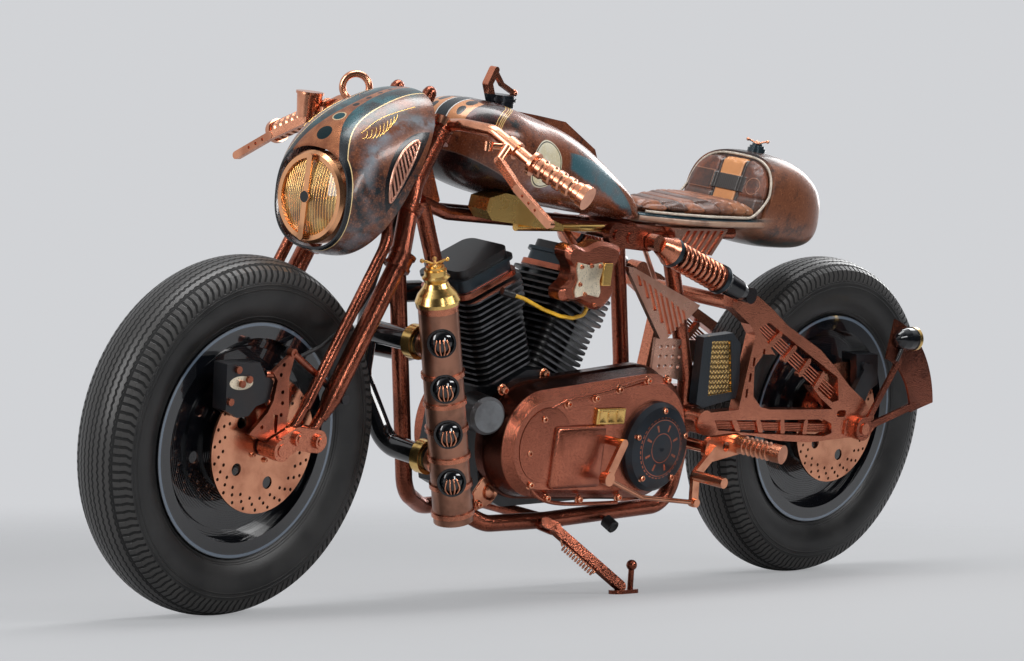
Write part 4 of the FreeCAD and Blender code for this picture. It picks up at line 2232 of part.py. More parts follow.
def side_stand():
    """The stand leg with its hinge eye, foot pad and ball-ended kick lug."""
    leg = flat_bar([STAND_PIVOT, STAND_FOOT], stand_leg_width, stand_leg_thickness, STAND_HINGE)
    ground_up = V(0, math.sin(math.radians(lean_deg)), math.cos(math.radians(lean_deg)))
    sole = on_ground(STAND_FOOT.x, STAND_FOOT.y) + ground_up * (stand_pad_thickness / 2)
    ends = [sole - X_AXIS * pad_fore, sole + X_AXIS * pad_aft]
    pad = flat_bar(ends, pad_width, stand_pad_thickness, ground_up)
    ball_at = STAND_FOOT + V(stand_ball_aft, 0, stand_ball_up)
    lug = rod(sole + X_AXIS * pad_aft, ball_at, stand_neck_radius)
    ball = Part.makeSphere(stand_ball_radius, ball_at)
    bore = disc(STAND_PIVOT, STAND_HINGE, stand_pin_radius + running_clearance, 2 * stand_leg_thickness)
    return joined([leg, pad, lug, ball]).cut(bore)


# Assembly

NODES = {
    "frame": head_and_spine,
    "cradle": rails,
    "tank": tank,
    "filler_cap": filler_cap,
    "tank_tray": tank_tray,
    "seat": seat,
    "back_pad": back_pad,
    "tail_cowl": tail_cowl,
    "engine_case": engine_case,
    "cylinders": cylinders,
    "rocker_boxes": rocker_boxes,
    "coil_cover": coil_cover,
    "primary_cover": primary_cover,
    "derby_cover": derby_cover,
    "cam_cover": cam_cover,
    "pushrod_tubes": pushrod_tubes,
    "air_cleaner": air_cleaner,
    "header_pipes": header_pipes,
    "standpipe": standpipe,
    "oil_filter": oil_filter,
    "plug_lead": plug_lead,
    "brake_hose": brake_hose,
    "foot_pegs": foot_pegs,
    "foot_levers": foot_levers,
    "swingarm": swingarm,
    "shocks": shocks,
    "side_box": side_box,
    "side_grilles": side_grilles,
    "rear_plate": rear_plate,
    "rear_caliper": rear_caliper,
    "indicators": indicators,
    "chain": chain,
    "fork_rear_legs": fork_rear_legs,
    "fork_front_legs": fork_front_legs,
    "fork_rockers": fork_rockers,
    "fork_yokes": fork_yokes,
    "handlebar": handlebar,
    "grips": grips,
    "levers": levers,
    "fairing": fairing,
    "headlight_bezel": headlight_bezel,
    "headlight_lens": headlight_lens,
    "front_caliper": front_caliper,
    "front_tyre": front_tyre,
    "front_wheel": front_wheel,
    "front_rotor": front_rotor,
    "rear_tyre": rear_tyre,
    "rear_wheel": rear_wheel,
    "rear_rotor": rear_rotor,
    "rear_sprocket": rear_sprocket,
    "side_stand": side_stand,
}


def placed(shape):
    """A shape leaned onto the side stand and set over the origin."""
    shape = shape.copy()
    shape.rotate(ORIGIN, X_AXIS, lean_deg)
    shape.translate(V(place_x, place_y, place_z))
    return shape


os.makedirs("parts", exist_ok=True)
for name, make in NODES.items():
    placed(make()).exportStep("parts/" + name + ".step")
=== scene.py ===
# %% [markdown]
# A chopper motorcycle is dressed here over its imported solids: copper castings, patinated paint, leather,
# brass and rubber. The solids give every shape its size and place, so this script only adds finishes and the
# small pieces that a metal worker would fit last. Loading the frame comes first.

# %% Load the frame
import math
import bpy
from mathutils import Matrix, Vector


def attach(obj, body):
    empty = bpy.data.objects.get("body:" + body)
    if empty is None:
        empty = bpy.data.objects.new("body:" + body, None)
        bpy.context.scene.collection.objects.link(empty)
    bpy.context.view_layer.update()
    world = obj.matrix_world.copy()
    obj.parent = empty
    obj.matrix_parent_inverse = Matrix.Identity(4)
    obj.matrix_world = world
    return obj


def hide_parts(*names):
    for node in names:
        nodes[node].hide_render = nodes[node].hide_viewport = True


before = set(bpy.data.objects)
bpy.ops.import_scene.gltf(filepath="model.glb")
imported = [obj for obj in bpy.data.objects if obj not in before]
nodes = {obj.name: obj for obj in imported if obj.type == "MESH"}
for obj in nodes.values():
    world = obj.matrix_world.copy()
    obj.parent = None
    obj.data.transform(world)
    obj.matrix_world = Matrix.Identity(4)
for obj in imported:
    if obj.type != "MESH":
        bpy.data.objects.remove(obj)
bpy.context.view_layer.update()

# %% [markdown]
# The motorcycle leans on its side stand. Patterns and small pieces are far easier to place on an upright
# machine, so one matrix turns a point of the upright machine into its leaning place. Its x axis runs from
# midway between the axles to the rear, z is the height over the ground and y is zero on the middle plane. The
# axles lie at plus and minus axle_x.

# %% The lean
lean = math.radians(9.78)
lean_shift = Vector((0.0, 0.1464, 0.0013))
leaning = Matrix.Translation(lean_shift) @ Matrix.Rotation(lean, 4, "X")
axle_x = 0.8665
axle_height = 0.345
print("upright origin stands at", leaning @ Vector((0, 0, 0)))

# %% [markdown]
# Small work such as screws, plates and caps is modelled as by hand: a primitive is added at its place and
# then extruded, inset and bevelled. These helpers keep that short. Each works on new objects alone and leaves
# the shape in the mesh, so the object itself stays at the origin.

# %% Modelling helpers
def pick(*pieces):
    """Selects just these pieces; the first is the active one."""
    bpy.ops.object.select_all(action="DESELECT")
    for piece in pieces:
        piece.select_set(True)
    bpy.context.view_layer.objects.active = pieces[0]


def start(kind, **settings):
    """Adds a primitive with nothing else selected."""
    bpy.ops.object.select_all(action="DESELECT")
    getattr(bpy.ops.mesh, "primitive_" + kind + "_add")(**settings)
    return bpy.context.object


def apply_all(piece):
    """Applies the modifiers and moves the object's place into its mesh."""
    pick(piece)
    for modifier in list(piece.modifiers):
        bpy.ops.object.modifier_apply(modifier=modifier.name)
    bpy.ops.object.transform_apply(location=True, rotation=True, scale=True)


def edit_faces(piece, wanted):
    """Enters edit mode with just the faces that wanted(centre, normal) accepts."""
    bpy.context.view_layer.objects.active = piece
    piece.select_set(True)
    bpy.ops.object.mode_set(mode="EDIT")
    bpy.ops.mesh.select_mode(type="FACE")
    bpy.ops.mesh.select_all(action="DESELECT")
    bpy.ops.object.mode_set(mode="OBJECT")
    for face in piece.data.polygons:
        face.select = wanted(face.center, face.normal)
    bpy.ops.object.mode_set(mode="EDIT")


def leave_edit():
    """Leaves edit mode."""
    bpy.ops.object.mode_set(mode="OBJECT")


def upper(centre, normal):
    """Picks the faces that look up."""
    return normal.z > 0.9


def leftward(centre, normal):
    """Picks the faces that look to the machine's left."""
    return normal.y < -0.9


def inset_steps(piece, faces, way, steps):
    """Insets faces by steps of (inset, move, extruded); each new face is moved or extruded along a way."""
    edit_faces(piece, faces)
    for inset, move, extruded in steps:
        bpy.ops.mesh.inset(thickness=inset)
        shift = tuple(Vector(way) * move)
        if extruded:
            bpy.ops.mesh.extrude_region_move(TRANSFORM_OT_translate={"value": shift})
        else:
            bpy.ops.transform.translate(value=shift)
    leave_edit()


def bevelled(piece, width, segments):
    """Rounds the sharp edges."""
    edge = piece.modifiers.new("edge", "BEVEL")
    edge.width = width
    edge.segments = segments
    edge.limit_method = "ANGLE"
    apply_all(piece)


def named(piece, name, material, body="chassis", smooth=35):
    """Names a piece, smooths it, gives it its finish and lets it ride on a body."""
    piece.name = name
    piece.data.name = name
    piece.data.materials.clear()
    piece.data.materials.append(material)
    pick(piece)
    bpy.ops.object.shade_smooth_by_angle(angle=math.radians(smooth))
    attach(piece, body)
    return piece


def facing(way):
    """The turn that takes +Z to a direction."""
    return Vector((0, 0, 1)).rotation_difference(Vector(way).normalized()).to_matrix().to_4x4()


def copies(piece, places):
    """One object made of copies of a piece, one at each matrix."""
    parts = []
    for place in places:
        copy = piece.copy()
        copy.data = piece.data.copy()
        copy.data.transform(place)
        bpy.context.collection.objects.link(copy)
        parts.append(copy)
    bpy.data.objects.remove(piece)
    pick(*parts)
    if len(parts) > 1:
        bpy.ops.object.join()
    return bpy.context.object


def lean_over(piece):
    """Takes a piece from the upright machine to the leaning one."""
    piece.data.transform(leaning)
    return piece


print("helpers ready")

# %% [markdown]
# Every finish is a small set of shader nodes. Writing them as sums is easier to read than wiring them by
# hand, so one class wraps a socket and overloads the operators. A second class adds nodes to a tree, and a
# third holds a finish.

# %% Sums of sockets
class Wire:
    """A socket of a sheet of nodes, so that masks can be written as sums."""

    def __init__(self, sheet, socket):
        self.sheet = sheet
        self.socket = socket

    def maths(self, operation, *values):
        return self.sheet.node("Math", {"operation": operation}, dict(enumerate(values)))

    def __add__(self, other):
        return self.maths("ADD", self, other)

    def __radd__(self, other):
        return self.maths("ADD", other, self)

    def __sub__(self, other):
        return self.maths("SUBTRACT", self, other)

    def __rsub__(self, other):
        return self.maths("SUBTRACT", other, self)

    def __mul__(self, other):
        return self.maths("MULTIPLY", self, other)

    def __rmul__(self, other):
        return self.maths("MULTIPLY", other, self)

    def __truediv__(self, other):
        return self.maths("DIVIDE", self, other)

    def __pow__(self, other):
        return self.maths("POWER", self, other)

    def __abs__(self):
        return self.maths("ABSOLUTE", self)

    def sine(self):
        return self.maths("SINE", self)

    def fraction(self):
        return self.maths("FRACT", self)

    def low(self, other):
        return self.maths("MINIMUM", self, other)

    def high(self, other):
        return self.maths("MAXIMUM", self, other)

    def angle(self, other):
        return self.maths("ARCTAN2", self, other)

    def ramp(self, start, end):
        """0 before start and 1 past end, with a soft step between."""
        settings = {"interpolation_type": "SMOOTHSTEP"}
        return self.sheet.node("MapRange", settings, {0: self, 1: start, 2: end})

    def below(self, value, soft):
        """1 under a value, 0 over it."""
        return 1.0 - self.ramp(value - soft, value + soft)

    def band(self, low, high, soft):
        """1 between two values."""
        return self.ramp(low - soft, low + soft) * self.below(high, soft)

    def line(self, half, soft=0.0004):
        """1 near zero, within half."""
        return abs(self).below(half, soft)

    def decay(self, length):
        """Falls from 1 at zero to a third at a length."""
        return self.maths("POWER", math.e, self * (-1 / length))


def rgb(red, green, blue):
    """A colour in linear light."""
    return (red, green, blue, 1.0)


class Sheet:
    """A tree of shader nodes and ways to add to it."""

    def __init__(self, tree):
        self.tree = tree

    def node(self, kind, settings, sockets, output=0):
        """One shader node of a type, with its settings first and then its sockets."""
        made = self.tree.nodes.new("ShaderNode" + kind)
        for key, value in settings.items():
            setattr(made, key, value)
        for key, value in sockets.items():
            if isinstance(value, Wire):
                self.tree.links.new(value.socket, made.inputs[key])
            else:
                made.inputs[key].default_value = value
        return Wire(self, made.outputs[output])

    def mix(self, factor, first, second):
        """One colour turning into another as factor goes to 1."""
        return self.node("Mix", {"data_type": "RGBA"}, {0: factor, 6: first, 7: second}, 2)


class Finish(Sheet):
    """A finish under construction: a material, its shader and its masks."""

    def __init__(self, name):
        self.material = bpy.data.materials.new(name)
        self.material.use_nodes = True
        super().__init__(self.material.node_tree)
        self.shader = self.tree.nodes["Principled BSDF"]
        self.place = self.node("TexCoord", {}, {}, "Object")
        self.colour = None

    def coat(self, mask, colour):
        """Lays a colour over the finish's own where the mask is 1."""
        self.colour = self.mix(mask, self.colour, colour)

    def noise(self, scale, detail=3.0, rough=0.55):
        """Cloudy noise from about 0.2 to 0.8."""
        sockets = {"Vector": self.place, "Scale": scale, "Detail": detail, "Roughness": rough}
        return self.node("TexNoise", {}, sockets)

    def cells(self, scale, feature="F1"):
        """Distance to the middle of rounded cells."""
        return self.node("TexVoronoi", {"feature": feature}, {"Vector": self.place, "Scale": scale})

    def plain(self):
        """x, y and z as they lie, in metres."""
        split = self.node("SeparateXYZ", {}, {0: self.place}).socket.node
        return [Wire(self, socket) for socket in split.outputs]

    def upright(self):
        """x, y and z on the upright machine, in metres."""
        x, back, up = self.plain()
        back = back - lean_shift.y
        up = up - lean_shift.z
        cosine = math.cos(lean)
        sine = math.sin(lean)
        return x, back * cosine + up * sine, up * cosine - back * sine

    def oval(self, across, up, centre, radii):
        """Distance from a centre, 1 on an oval of those radii."""
        first = (across - centre[0]) / radii[0]
        second = (up - centre[1]) / radii[1]
        return (first * first + second * second) ** 0.5

    def bump(self, height, distance):
        """A relief of a height in metres."""
        return self.node("Bump", {}, {"Height": height, "Distance": distance})

    def paint(self, **sockets):
        """Sets or links the shader's own sockets and returns the material."""
        sockets.setdefault("Base_Color", self.colour)
        for key, value in sockets.items():
            socket = self.shader.inputs[key.replace("_", " ")]
            if isinstance(value, Wire):
                self.tree.links.new(value.socket, socket)
            else:
                socket.default_value = value
        return self.material


print("shader helpers ready")

# %% [markdown]
# Most castings are copper with a hammered skin: rounded dimples about two millimetres across, darker in the
# pits where the polish never reaches. Rounded Voronoi cells give the dimples, and slow noise lets the metal
# tarnish in patches. Polished copper and brass have no dimples, only fine brush marks.

# %% Copper and brass
def hammered(name, bright, dark, cell, relief, tarnish, shade_behind=None):
    """Hammered metal; past a plane across the machine it may be painted dark, as painted shade on a side
    wall.
    """
    finish = Finish(name)
    dimple = finish.cells(1 / cell, "SMOOTH_F1")
    patches = finish.noise(9.0, 4.0)
    grime = finish.noise(70.0, 3.0)
    worn = (dimple.ramp(0.75, 0.25) * 0.75 + 0.25) * (1.0 - patches.ramp(0.42, 0.62) * tarnish)
    colour = finish.mix(worn * (0.7 + grime * 0.6).low(1.0), dark, bright)
    if shade_behind is not None:
        x, y, z = finish.upright()
        # Past the plane the metal is painted near black and dark brown: painted shade on the cover's side
        # wall.
        wall_shade = finish.mix(patches.ramp(0.3, 0.6), rgb(0.012, 0.006, 0.005), rgb(0.10, 0.030, 0.018))
        colour = finish.mix(y.ramp(shade_behind - 0.001, shade_behind + 0.001), colour, wall_shade)
    normal = finish.bump(1.0 - dimple, relief)
    return finish.paint(Base_Color=colour, Metallic=0.92, Roughness=grime * 0.16 + 0.13, Normal=normal)


def polished(name, bright, dark, rough):
    """Polished metal with brush marks."""
    finish = Finish(name)
    patches = finish.noise(16.0, 5.0)
    brushed = finish.noise(420.0, 2.0)
    colour = finish.mix(patches.ramp(0.38, 0.68) * 0.6 + brushed * 0.2, bright, dark)
    normal = finish.bump(brushed, 0.00012)
    return finish.paint(Base_Color=colour, Metallic=1.0, Roughness=rough + patches * 0.22, Normal=normal)


case_tones = rgb(0.60, 0.195, 0.115), rgb(0.13, 0.034, 0.021)
cover_wall_y = -0.144
copper = hammered("hammered_copper", rgb(0.50, 0.150, 0.085), rgb(0.05, 0.013, 0.009), 0.0022, 0.0004, 0.5)
rail_copper = hammered("hammered_rail_copper", rgb(0.74, 0.270, 0.160), rgb(0.20, 0.056, 0.034), 0.0018,
                       0.00022, 0.25)
case_copper = hammered("hammered_case_copper", *case_tones, 0.0016, 0.00026, 0.3)
bright_copper = polished("bright_copper", rgb(0.84, 0.39, 0.235), rgb(0.42, 0.155, 0.09), 0.12)
pink_copper = polished("machined_copper", rgb(0.90, 0.50, 0.37), rgb(0.62, 0.29, 0.20), 0.18)
brass = polished("polished_brass", rgb(0.92, 0.60, 0.20), rgb(0.56, 0.30, 0.08), 0.16)
primary_copper = hammered("hammered_primary_copper", *case_tones, 0.0016, 0.00026, 0.3, cover_wall_y)
print("metals", copper.name, bright_copper.name, brass.name)

# %% [markdown]
# Dark surfaces differ in gloss and in the size of their grain: gloss enamel on the pipes, satin enamel on the
# engine, slate on the small tubes, bare dark steel on the chain and plain rubber. The wheels have gloss
# enamel with turned rings, and the cylinders' fins carry a painted highlight along their edges, broken up
# by noise.

# %% Dark finishes
def enamel(name, colour, rough, grain, relief, coat=0.0, metallic=0.0, dusty=0.3):
    """Enamel with fine grain and a little dust."""
    finish = Finish(name)
    speck = finish.noise(1 / grain, 3.0, 0.6)
    dust = finish.noise(14.0, 5.0)
    pale = tuple(min(1.0, value * 1.9 + 0.010) for value in colour[:3]) + (1.0,)
    shade = finish.mix(dust.ramp(0.42, 0.72) * dusty + speck * 0.1, colour, pale)
    normal = finish.bump(speck, relief)
    return finish.paint(Base_Color=shade, Metallic=metallic, Roughness=rough + dust * 0.12, Normal=normal,
                        Coat_Weight=coat, Coat_Roughness=0.06)


gloss_black = enamel("gloss_black_enamel", rgb(0.003, 0.0035, 0.0045), 0.08, 0.004, 0.00003, coat=0.8,
                     dusty=0.1)
satin_black = enamel("satin_black_enamel", rgb(0.007, 0.008, 0.010), 0.27, 0.0012, 0.00012)
slate = enamel("slate_enamel", rgb(0.020, 0.036, 0.045), 0.24, 0.0015, 0.0001, coat=0.4, metallic=0.5)
dark_steel = enamel("dark_steel", rgb(0.045, 0.04, 0.038), 0.32, 0.0012, 0.0001, metallic=0.9)
rubber = enamel("plain_rubber", rgb(0.008, 0.008, 0.009), 0.5, 0.0015, 0.0002)


ring_pitch = 0.0045
disc_radius = 0.19


def wheel_enamel(name, hub_x):
    """Gloss enamel with turned rings round an axle, and a pale ring near the rim painted as a reflection."""
    finish = Finish(name)
    x, y, z = finish.upright()
    radius = ((x - hub_x) ** 2.0 + (z - axle_height) ** 2.0) ** 0.5
    rings = (radius * (2 * math.pi / ring_pitch)).sine() * 0.5 + 0.5
    dust = finish.noise(14.0, 5.0)
    # A pale blue-grey ring near the rim's edge is a painted reflection.
    edge = radius.ramp(0.2262, 0.2235) * radius.ramp(0.2180, 0.2205)
    shade = finish.mix(dust.ramp(0.5, 0.75) * 0.25, rgb(0.0035, 0.0042, 0.006), rgb(0.014, 0.015, 0.017))
    shade = finish.mix(edge, shade, rgb(0.10, 0.13, 0.17))
    return finish.paint(Base_Color=shade, Roughness=0.09 + dust * 0.08, Coat_Weight=1.0, Coat_Roughness=0.03,
                        Normal=finish.bump(rings * radius.below(disc_radius, 0.003), 0.00025))


front_enamel = wheel_enamel("front_wheel_enamel", -axle_x)
rear_enamel = wheel_enamel("rear_wheel_enamel", axle_x)

crank_x = -0.112
crank_height = 0.300
half_vee = math.radians(22.5)


def cylinder_bank(x, z):
    """How far up its cylinder's axis a place lies, and how far to the side of that axis."""
    ahead = abs(x - crank_x)
    rise = z - crank_height
    up_axis = ahead * math.sin(half_vee) + rise * math.cos(half_vee)
    return up_axis, rise * math.sin(half_vee) - ahead * math.cos(half_vee)


fins = Finish("black_fins")
x, y, z = fins.upright()
up_bank, along_bank = cylinder_bank(x, z)
head_foot = 0.300
fin_half = up_bank.ramp(head_foot - 0.0002, head_foot + 0.0002) * 0.006 + 0.0752
# The fins' edges are painted paler: a painted highlight, broken up by noise that also varies the gloss.
fin_edge_highlight = (abs(y) - fin_half).high(abs(along_bank) - fin_half).ramp(-0.0008, -0.0002)
soot_and_glint = fins.noise(40.0, 4.0)
shade = fins.mix(fin_edge_highlight * soot_and_glint.ramp(0.3, 0.55), rgb(0.005, 0.005, 0.006), rgb(0.060, 0.062, 0.068))
fin_black = fins.paint(Base_Color=shade, Roughness=0.26 + soot_and_glint * 0.1, Normal=fins.bump(soot_and_glint, 0.0003))
print("enamels ready")

# %% [markdown]
# The painted bodywork is aged: deep teal that breaks into rust brown and bronze with pale mineral bloom at
# the edges, which round the fairing's louvres also carries a painted reflection. Three layers of noise decide
# where each colour shows, and a lacquer coat lies over all of them.

# %% Patinated paint
def patina(finish, teal, rust, shift):
    """The aged paint's colour, from teal where shift is low to rust where it is high."""
    broad = finish.noise(7.0, 6.0, 0.6)
    fine = finish.noise(55.0, 6.0, 0.7)
    speck = finish.noise(260.0, 3.0, 0.7)
    amount = broad * 0.6 + fine * 0.45 + shift
    base = finish.mix(amount.ramp(0.42, 0.62), teal, rust)
    bronze = finish.mix(speck.ramp(0.5, 0.72) * fine.ramp(0.4, 0.6), base, rgb(0.30, 0.115, 0.055))
    return finish.mix(speck.ramp(0.44, 0.3) * 0.75, bronze, rgb(0.02, 0.014, 0.012))


def lacquer(finish, rough, metallic=0.15):
    """A clear coat over aged paint."""
    grain = finish.noise(320.0, 3.0)
    return finish.paint(Metallic=metallic, Roughness=rough + grain * 0.12,
                        Coat_Weight=0.2, Coat_Roughness=0.07, Normal=finish.bump(grain, 0.00010))


print("patina ready")

# %% [markdown]
# The fairing is painted in three fields. A copper stripe with dark ovals runs up its middle and flares round
# the headlight, a black and teal band follows it on each side, and past a thin gold line the aged paint
# begins. Each field is a mask on the upright coordinates. The stripe's half width falls off like a decay from
# the front edge.

# %% Fairing paint
nose_x = -0.719
arc_centre = Vector((-0.548, 0.841))
chord_middle = (-0.596, 0.873)
chord_normal = (-0.836, 0.549)
brow_slope = (0.75, 0.66)
fairing_finish = Finish("fairing_paint")
x, y, z = fairing_finish.upright()
side = abs(y)
behind = x - nose_x
stripe_half = behind.decay(0.036) * 0.050 + 0.007
band_half = behind.decay(0.024) * 0.038 + 0.046
inside = (band_half - side - z.below(0.83, 0.03) * 0.2).high((-0.7150 - x) * 2.0)
band = inside.ramp(-0.0003, 0.0003)
stripe = (stripe_half - side).ramp(-0.0002, 0.0004) * z.ramp(0.84, 0.85)
aged = patina(fairing_finish, rgb(0.008, 0.016, 0.020), rgb(0.17, 0.055, 0.026), 0.05)
teal_sheen = z.ramp(0.93, 0.99) * fairing_finish.noise(12.0).ramp(0.36, 0.66) * 0.7
aged = fairing_finish.mix(teal_sheen, aged, rgb(0.01, 0.09, 0.10))
cloud = fairing_finish.noise(30.0, 4.0)
# Pale grey round the louvre is pale paint with a painted reflection on it, stronger higher up; the pale
# bottom edge is paint.
louvre_ring = fairing_finish.oval(x, z, (-0.560, 0.845), (0.135, 0.122))
pale = louvre_ring.band(0.90, 1.04, 0.10) * (z.ramp(0.80, 0.90) * 0.7 + 0.2)
pale = pale.high(z.below(0.755, 0.03) * 0.5)
aged = fairing_finish.mix(pale * cloud.ramp(0.36, 0.62), aged, rgb(0.24, 0.29, 0.33))
dark_band = fairing_finish.mix(cloud.ramp(0.35, 0.6) * z.ramp(0.9, 0.97), rgb(0.006, 0.008, 0.010),
                               rgb(0.008, 0.07, 0.085))
brown = fairing_finish.mix(cloud.ramp(0.35, 0.7), rgb(0.50, 0.19, 0.085), rgb(0.26, 0.085, 0.04))
fairing_finish.colour = fairing_finish.mix(band, aged, dark_band)
fairing_finish.coat(stripe, brown)
gold_line = inside.line(0.0013)
fairing_finish.coat(gold_line, rgb(0.85, 0.62, 0.30))
metallic = stripe * 0.75 + 0.12
for centre_x, centre_z, wide, tall, fill, rim in (
    (-0.706, 0.925, 0.017, 0.016, rgb(0.004, 0.02, 0.025), 0.0),
    (-0.672, 0.958, 0.012, 0.011, rgb(0.008, 0.075, 0.09), 1.0),
    (-0.630, 0.981, 0.0065, 0.007, rgb(0.01, 0.008, 0.008), 0.0),
    (-0.597, 0.994, 0.005, 0.006, rgb(0.03, 0.012, 0.01), 0.0),
    (-0.567, 1.004, 0.0045, 0.005, rgb(0.05, 0.015, 0.012), 0.0),
    (-0.540, 1.011, 0.004, 0.0045, rgb(0.06, 0.018, 0.013), 0.0),
):
    slope = (x - centre_x) * brow_slope[0] + (z - centre_z) * brow_slope[1]
    reach = fairing_finish.oval(y, slope, (0.0, 0.0), (wide, tall))
    near = fairing_finish.oval(x, z, (centre_x, centre_z), (0.03, 0.03)).below(1.0, 0.05)
    if rim:
        fairing_finish.coat(reach.below(1.22, 0.04) * near, rgb(0.80, 0.62, 0.38))
    fairing_finish.coat(reach.below(1.0, 0.05) * near, fill)
louvre_edge = fairing_finish.oval(x, z, arc_centre, (0.1, 0.1))
behind_chord = (x - chord_middle[0]) * chord_normal[0] + (z - chord_middle[1]) * chord_normal[1]
fairing_finish.coat(louvre_edge.below(1.06, 0.01) * behind_chord.ramp(-0.007, -0.005),
                    rgb(0.005, 0.006, 0.008))
fairing_paint = lacquer(fairing_finish, 0.2, metallic)
print("fairing paint has", len(fairing_finish.tree.nodes), "nodes")

# %% [markdown]
# The tank's front repeats the fairing's colours: black down the middle, a pale line, copper bands with dark
# ovals and then maroon, closed off by four thin gold lines that fan out. Behind them lies the rust paint with
# a plain ivory disc, a teal field for the knee and a dark panel underneath.

# %% Tank paint
tank_finish = Finish("tank_paint")
x, y, z = tank_finish.upright()
side = abs(y)
tank_finish.colour = patina(tank_finish, rgb(0.008, 0.013, 0.014), rgb(0.19, 0.055, 0.024), 0.05)
cloud = tank_finish.noise(26.0, 5.0)
pale = tank_finish.oval(x, z, (-0.20, 0.845), (0.075, 0.028)).below(0.8, 0.4)
tank_finish.coat(pale * cloud.ramp(0.25, 0.6) * 0.8, rgb(0.27, 0.23, 0.25))
ahead = x + 0.15
knee_top = 0.918 - ahead * 0.10 - ahead * ahead * 1.2
knee_low = 0.885 - ahead * 0.36
fray = (cloud - 0.5) * 0.02
knee = (z + fray - knee_low).ramp(-0.004, 0.006) * (knee_top - z).ramp(-0.001, 0.002) * x.ramp(-0.155, -0.140)
tank_finish.coat(knee * (cloud.ramp(0.2, 0.5) * 0.5 + 0.5), rgb(0.05, 0.125, 0.15))
rise = -0.097 - x
crease = z - (rise * 0.20 + rise * rise * 0.55 + 0.794)
under = crease.below(0.0, 0.0015) * x.below(-0.05, 0.03)
belly = tank_finish.mix(cloud.ramp(0.4, 0.6), rgb(0.006, 0.007, 0.009), rgb(0.035, 0.010, 0.008))
tank_finish.coat(under, belly)
# A thin pale line along the crease is a painted highlight on its edge.
tank_finish.coat(crease.line(0.0012) * x.below(-0.1, 0.02) * 0.5, rgb(0.22, 0.15, 0.12))
turn_line = x + 0.26 + (side / 0.105) ** 3.0 * 0.085
front = turn_line.below(0.0, 0.0008) * z.ramp(0.93, 0.96)
maroon = tank_finish.mix(cloud.ramp(0.4, 0.65), rgb(0.012, 0.006, 0.006), rgb(0.075, 0.010, 0.008))
tank_finish.coat(front, maroon)
tank_finish.coat(front * side.band(0.017, 0.057, 0.0005) * x.below(-0.335, 0.003), rgb(0.55, 0.24, 0.10))
tank_finish.coat(front * side.below(0.0155, 0.0005), rgb(0.006, 0.012, 0.016))
tank_finish.coat(front * (side - 0.0150).line(0.0012), rgb(0.80, 0.78, 0.74))
for centre_x, wide, long in ((-0.348, 0.010, 0.014), (-0.376, 0.008, 0.010)):
    oval = tank_finish.oval(side, x, (0.037, centre_x), (wide, long))
    tank_finish.coat(oval.below(1.0, 0.06) * z.ramp(0.95, 0.96), rgb(0.02, 0.02, 0.022))
for shift in (0.0, 0.012, 0.020, 0.027):
    fan = turn_line - side * (shift * 9.5)
    tank_finish.coat(fan.line(0.0010) * z.ramp(0.935, 0.950) * side.ramp(0.03, 0.05), rgb(0.85, 0.60, 0.22))
disc = tank_finish.oval(x, z, (-0.219, 0.893), (0.0445, 0.0475))
ivory = tank_finish.mix(cloud.ramp(0.3, 0.7), rgb(0.80, 0.76, 0.62), rgb(0.70, 0.60, 0.36))
flank = side.ramp(0.08, 0.085)
tank_finish.coat(disc.below(1.0, 0.015) * flank, ivory)
tank_finish.coat((disc - 0.93).line(0.022, 0.01) * flank, rgb(0.02, 0.02, 0.02))
tank_paint = lacquer(tank_finish, 0.2)
print("tank paint has", len(tank_finish.tree.nodes), "nodes")

# %% [markdown]
# The tail's aged paint has no lines, only a black upper edge, a teal lower one and a pale pan under the
# saddle.

# %% Tail paint
tail_finish = Finish("tail_patina")
x, y, z = tail_finish.upright()
tail_finish.colour = patina(tail_finish, rgb(0.008, 0.012, 0.014), rgb(0.18, 0.060, 0.026), 0.06)
cloud = tail_finish.noise(20.0, 4.0)
pan = x.below(0.50, 0.04) * z.below(0.790, 0.002)
tail_finish.coat(pan * cloud.ramp(0.2, 0.55), rgb(0.42, 0.27, 0.19))
tail_finish.coat(pan * z.band(0.7805, 0.7865, 0.0008), rgb(0.012, 0.045, 0.06))
tail_finish.coat(z.below(0.738, 0.006) * 0.6, rgb(0.04, 0.085, 0.085))
tail_finish.coat(z.ramp(0.89, 0.915) * 0.8, rgb(0.008, 0.010, 0.012))
tail_paint = lacquer(tail_finish, 0.3)
print("paints ready")

# %% [markdown]
# A balloon tyre carries ribs that zigzag round the tread, blocks along its shoulders and a few rings down the
# sidewall. All follow the wheel, so the angle round the axle and the distance from it are worked out first.

# %% Tyre rubber
rib_pitch = 0.0125
zigzags = 150
zigzag_depth = 0.0052
shoulder_blocks = 130
sidewall_rings = ((0.299, 0.0012), (0.291, 0.0012), (0.236, 0.0018), (0.229, 0.001))


